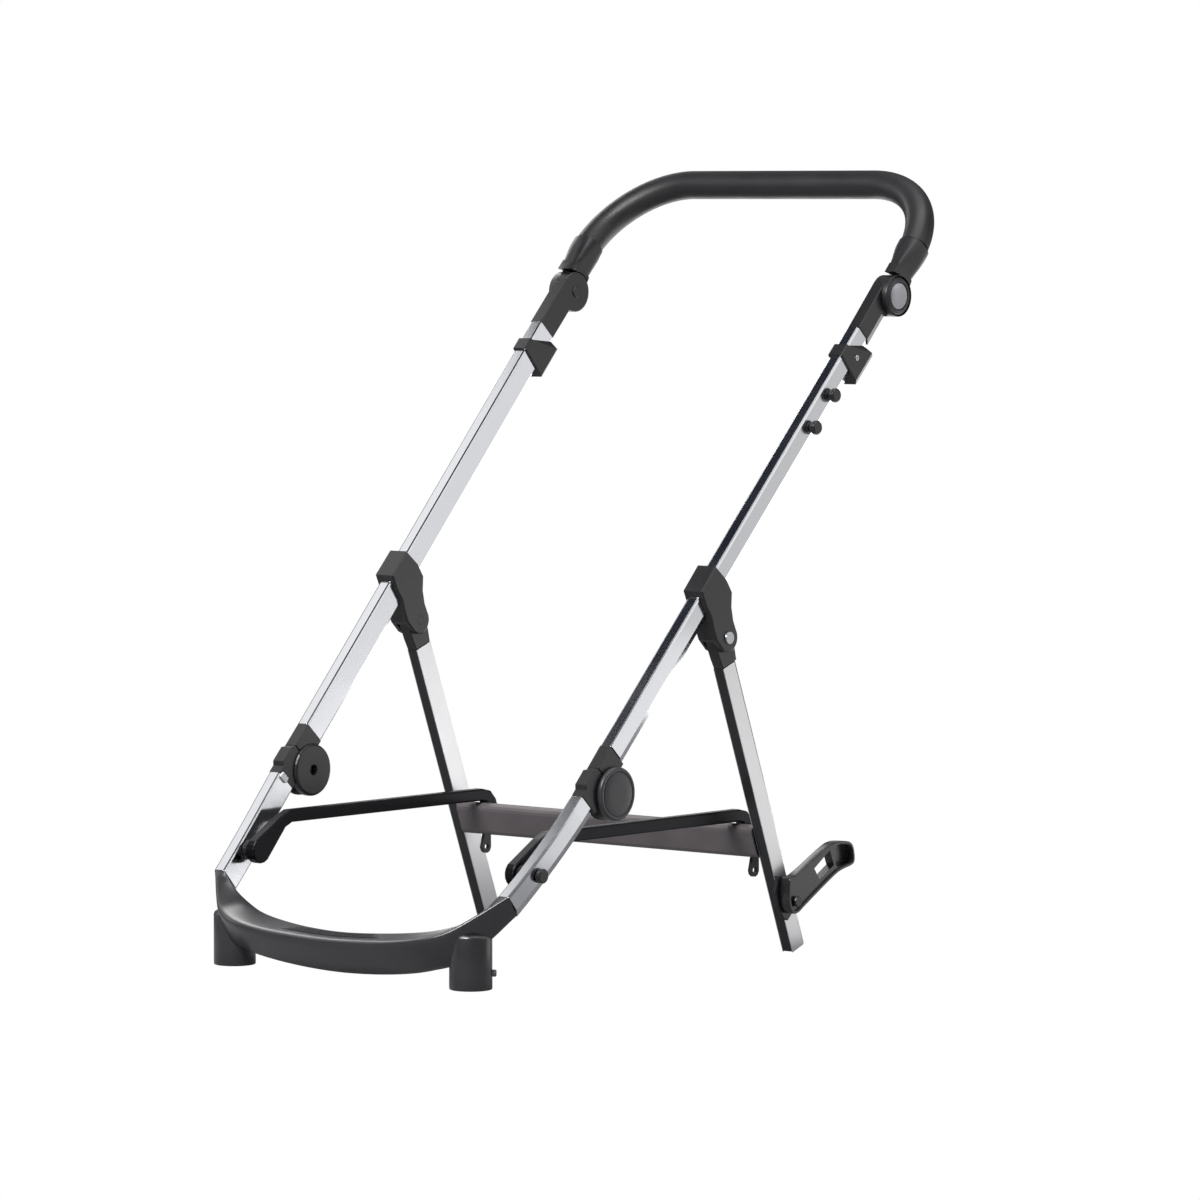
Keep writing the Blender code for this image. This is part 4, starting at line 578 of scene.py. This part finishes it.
# Brake. A glossy black nylon foot lever that turns on a bolt through its base on the left leg. The lever
# has a raised rim round a dished side, a window and a cup behind its pad.
finish_node("brake_base", bracket_nylon)
finish_node("brake_bolt", bracket_nylon)
pedal_gloss = moulded("pedal_nylon_gloss", "#222225", 0.26, relief=0.000004, coat=0.35, edge=0.0005)
PEDAL = [(0.0919, 0.0917), (0.1030, 0.0905), (0.1660, 0.1225), (0.1820, 0.1262), (0.1960, 0.1256),
         (0.2070, 0.1232), (0.2126, 0.1163), (0.2150, 0.1020), (0.2105, 0.0962), (0.1925, 0.0932),
         (0.1769, 0.0880), (0.1170, 0.0545), (0.1090, 0.0492), (0.1000, 0.0476), (0.0955, 0.0510),
         (0.0915, 0.0580), (0.0902, 0.0680), (0.0905, 0.0800)]


def pedal_plate(name, outline, low, high, rounding=0.0):
    """Plate of the lever between two distances from the middle plane."""
    faces = [[(x, y, z) for y, z in outline] for x in (low, high)]
    return plate(name, faces, pedal_gloss, rounding, segments=4)


def shrunk(outline, inset):
    """Outline moved inwards square to its sides."""
    area = sum(a[0] * b[1] - b[0] * a[1] for a, b in zip(outline, outline[1:] + outline[:1]))
    sign = 1.0 if area > 0 else -1.0
    moved = []
    for i, (y, z) in enumerate(outline):
        before, after = outline[i - 1], outline[(i + 1) % len(outline)]
        edge_in = Vector((y - before[0], z - before[1])).normalized()
        edge_out = Vector((after[0] - y, after[1] - z)).normalized()
        inward = Vector((-edge_in.y - edge_out.y, edge_in.x + edge_out.x)).normalized() * sign
        moved.append((y + inward.x * inset, z + inward.y * inset))
    return moved


def softened(outline):
    """Outline with its corners cut twice, which rounds them."""
    for _ in range(2):
        cut = []
        for i, (y, z) in enumerate(outline):
            after = outline[(i + 1) % len(outline)]
            cut.append((0.75 * y + 0.25 * after[0], 0.75 * z + 0.25 * after[1]))
            cut.append((0.25 * y + 0.75 * after[0], 0.25 * z + 0.75 * after[1]))
        outline = cut
    return outline


PEDAL_INSIDE, PEDAL_OUTSIDE = 0.2477, 0.2614
DISH_FLOOR, CUP_FLOOR = 0.2590, 0.2505
CUT_INSIDE, CUT_OUTSIDE = 0.2400, 0.2700
RIM_WIDTH = 0.0030
WINDOW = [(0.1692, 0.1165), (0.1768, 0.0985), (0.1500, 0.0835), (0.1400, 0.0975)]
PAD = [(0.1800, 0.1222), (0.1950, 0.1219), (0.2040, 0.1200), (0.2087, 0.1148), (0.2108, 0.1030),
       (0.2080, 0.0992), (0.1925, 0.0965), (0.1790, 0.0950)]
BOLT_BORE = [(0.0033, -0.02), (0.0033, 0.02)]
BOLT_PLACE = (0.2546, 0.10505, 0.0623)
pedal = pedal_plate("pedal_lever", softened(PEDAL), PEDAL_INSIDE, PEDAL_OUTSIDE, 0.0009)
merge(pedal, pedal_plate("dish", softened(shrunk(PEDAL, RIM_WIDTH)), DISH_FLOOR, CUT_OUTSIDE), "DIFFERENCE")
merge(pedal, pedal_plate("window", WINDOW, CUT_INSIDE, CUT_OUTSIDE), "DIFFERENCE")
merge(pedal, pedal_plate("cup", softened(PAD), CUP_FLOOR, CUT_OUTSIDE), "DIFFERENCE")
merge(pedal, turned("bore", BOLT_BORE, BOLT_PLACE, pedal_gloss), "DIFFERENCE")
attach(pedal, "brake")
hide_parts("brake_pedal")


# Studio. A pale seamless floor that the camera sees as plain white, and soft lamps in front, above and
# at both sides. Cards that only reflections see give the metal its tones: a navy one over the left
# rail, whose front face is dark in the photograph, and pale ones round it for sides and edges.
def card(name, centre, size, made, tilt=(0.0, 0.0, 0.0), seen_by_camera=False):
    """Flat card of the given width and depth. Without a camera's eye it is seen by reflections alone."""
    bm = bmesh.new()
    bmesh.ops.create_grid(bm, x_segments=2, y_segments=2, size=0.5)
    bmesh.ops.scale(bm, vec=(size[0], size[1], 1.0), verts=bm.verts)
    mesh = bpy.data.meshes.new(name)
    bm.to_mesh(mesh)
    bm.free()
    mesh.materials.append(made)
    item = bpy.data.objects.new(name, mesh)
    item.location = centre
    item.rotation_euler = tilt
    bpy.context.scene.collection.objects.link(item)
    if not seen_by_camera:
        item.visible_camera = False
        item.visible_diffuse = False
        item.visible_shadow = False


floor_paint, tree, shader = blank("studio_floor_white")
path = node(tree, "ShaderNodeLightPath")
place = node(tree, "ShaderNodeTexCoord").outputs["Object"]
speck = node(tree, "ShaderNodeTexNoise", None, {"Vector": place}, Scale=3.0, Detail=2.0)
pale = node(tree, "ShaderNodeMix", {"data_type": "RGBA"}, {"Factor": speck.outputs["Fac"]})
pale.inputs["A"].default_value = linear("#8c8c8f")
pale.inputs["B"].default_value = linear("#929294")
tree.links.new(pale.outputs["Result"], shader.inputs["Base Color"])
shader.inputs["Roughness"].default_value = 0.8
glow = node(tree, "ShaderNodeEmission", None, None, Color=(1.0, 1.0, 1.0, 1.0), Strength=1.0)
blend = node(tree, "ShaderNodeMixShader", None, {0: path.outputs["Is Camera Ray"], 1: shader.outputs["BSDF"],
                                                 2: glow.outputs["Emission"]})
tree.links.new(blend.outputs["Shader"], tree.nodes["Material Output"].inputs["Surface"])
card("studio_floor", (0.0, 0.0, 0.0), (60.0, 60.0), floor_paint, seen_by_camera=True)

world = bpy.data.worlds.new("studio")
world.use_nodes = True
bpy.context.scene.world = world
tree = world.node_tree
sky = tree.nodes["Background"]
path = node(tree, "ShaderNodeLightPath")
white = node(tree, "ShaderNodeBackground", None, None, Color=(1.0, 1.0, 1.0, 1.0), Strength=1.0)
sky.inputs["Color"].default_value = linear("#e4e5ea")
sky.inputs["Strength"].default_value = 0.24
choose = node(tree, "ShaderNodeMixShader", None, {0: path.outputs["Is Camera Ray"],
                                                  1: sky.outputs["Background"],
                                                  2: white.outputs["Background"]})
tree.links.new(choose.outputs["Shader"], tree.nodes["World Output"].inputs["Surface"])


def lamp(name, place, aim, size, power):
    """Soft rectangular lamp aimed at a point."""
    light = bpy.data.lights.new(name, "AREA")
    light.shape = "RECTANGLE"
    light.size, light.size_y = size
    light.energy = power
    item = bpy.data.objects.new(name, light)
    item.location = place
    item.rotation_euler = (Vector(aim) - Vector(place)).to_track_quat("-Z", "Y").to_euler()
    bpy.context.scene.collection.objects.link(item)


MIDDLE, FAR_RAIL = (0.0, 0.0, 0.4), (-0.23, 0.0, 0.5)
lamp("lamp_key", (0.1, -2.4, 2.5), MIDDLE, (1.6, 1.2), 130)
lamp("lamp_top", (0.5, 0.6, 3.2), MIDDLE, (1.8, 1.8), 26)
lamp("lamp_left", (-2.8, -1.4, 1.3), MIDDLE, (1.0, 1.4), 6)
lamp("lamp_far_front", (-1.95, -0.4, 2.1), FAR_RAIL, (1.1, 1.8), 3.0)
lamp("lamp_far_side", (1.35, 2.0, 0.55), FAR_RAIL, (0.75, 1.3), 2.6)


def card_paint(name, code, strength):
    """Paper of a card: its own even light, with the faint mottle of the paper."""
    made, tree, shader = blank(name)
    place = node(tree, "ShaderNodeTexCoord").outputs["Object"]
    mottle = node(tree, "ShaderNodeTexNoise", None, {"Vector": place}, Scale=6.0, Detail=2.0)
    level = node(tree, "ShaderNodeMapRange", None, {"Value": mottle.outputs["Fac"]}, From_Min=0.0,
                 From_Max=1.0, To_Min=strength * 0.95, To_Max=strength * 1.05)
    light = node(tree, "ShaderNodeEmission", None, {"Strength": level.outputs["Result"]}, Color=linear(code))
    tree.links.new(light.outputs["Emission"], tree.nodes["Material Output"].inputs["Surface"])
    return made


NAVY, PAPER_WHITE = "#252c3e", "#ffffff"
FLAT = (0.0, 0.0, 0.0)
UPRIGHT = math.radians(90.0)
CARDS = [
    ("card_navy", (-0.48, -0.02, 1.35), (0.62, 1.1), NAVY, 0.5, FLAT),
    ("card_left_high", (-1.17, -0.15, 1.35), (0.72, 0.85), PAPER_WHITE, 1.15, FLAT),
    ("card_right_low", (0.81, 0.625, 0.15), (0.5, 0.3), PAPER_WHITE, 1.05,
     (UPRIGHT, 0.0, math.radians(-40.0))),
    ("card_right", (0.81, 0.625, 0.55), (0.5, 0.5), PAPER_WHITE, 0.7, (UPRIGHT, 0.0, math.radians(-40.0))),
    ("card_right_high", (0.8, -0.1, 1.5), (1.1, 0.9), PAPER_WHITE, 1.6, FLAT),
    ("card_right_side", (1.04, 0.36, 0.95), (1.0, 1.0), PAPER_WHITE, 1.1,
     (math.radians(67.8), 0.0, math.radians(109.1))),
    ("card_right_floor", (0.75, 0.7, 0.003), (0.9, 1.2), PAPER_WHITE, 0.9, FLAT),
    ("card_left_back", (-1.1, 1.6, 0.3), (1.0, 0.5), PAPER_WHITE, 1.4, (UPRIGHT, 0.0, math.radians(40.0))),
    ("card_lip", (-1.25, 0.72, 1.35), (0.8, 0.9), PAPER_WHITE, 3.5, FLAT),
    ("card_behind", (0.0, 2.6, 0.004), (3.0, 3.4), PAPER_WHITE, 2.6, FLAT),
]
for name, centre, size, code, strength, tilt in CARDS:
    card(name, centre, size, card_paint(name + "_paper", code, strength), tilt)

# Camera. It looks at the frame from its left front, 40 degrees round and a little from above. Its place
# and its long lens come from a fit to points measured in the photograph.
camera = bpy.data.cameras.new("camera")
view = bpy.data.objects.new("camera", camera)
bpy.context.scene.collection.objects.link(view)
camera_place = (4.7142, -5.55615, 0.8732)
round_angle, down_angle = 0.69813, 0.0640936
right = Vector((math.cos(round_angle), math.sin(round_angle), 0.0))
ahead = Vector((-math.sin(round_angle) * math.cos(down_angle),
                math.cos(round_angle) * math.cos(down_angle), -math.sin(down_angle)))
turn = Matrix((right, right.cross(ahead), -ahead)).transposed().to_4x4()
view.matrix_world = Matrix.Translation(camera_place) @ turn
camera.sensor_width = 36.0
camera.lens = 187.956
camera.clip_end = 80.0
bpy.context.scene.camera = view
bpy.context.scene.view_settings.view_transform = "Standard"
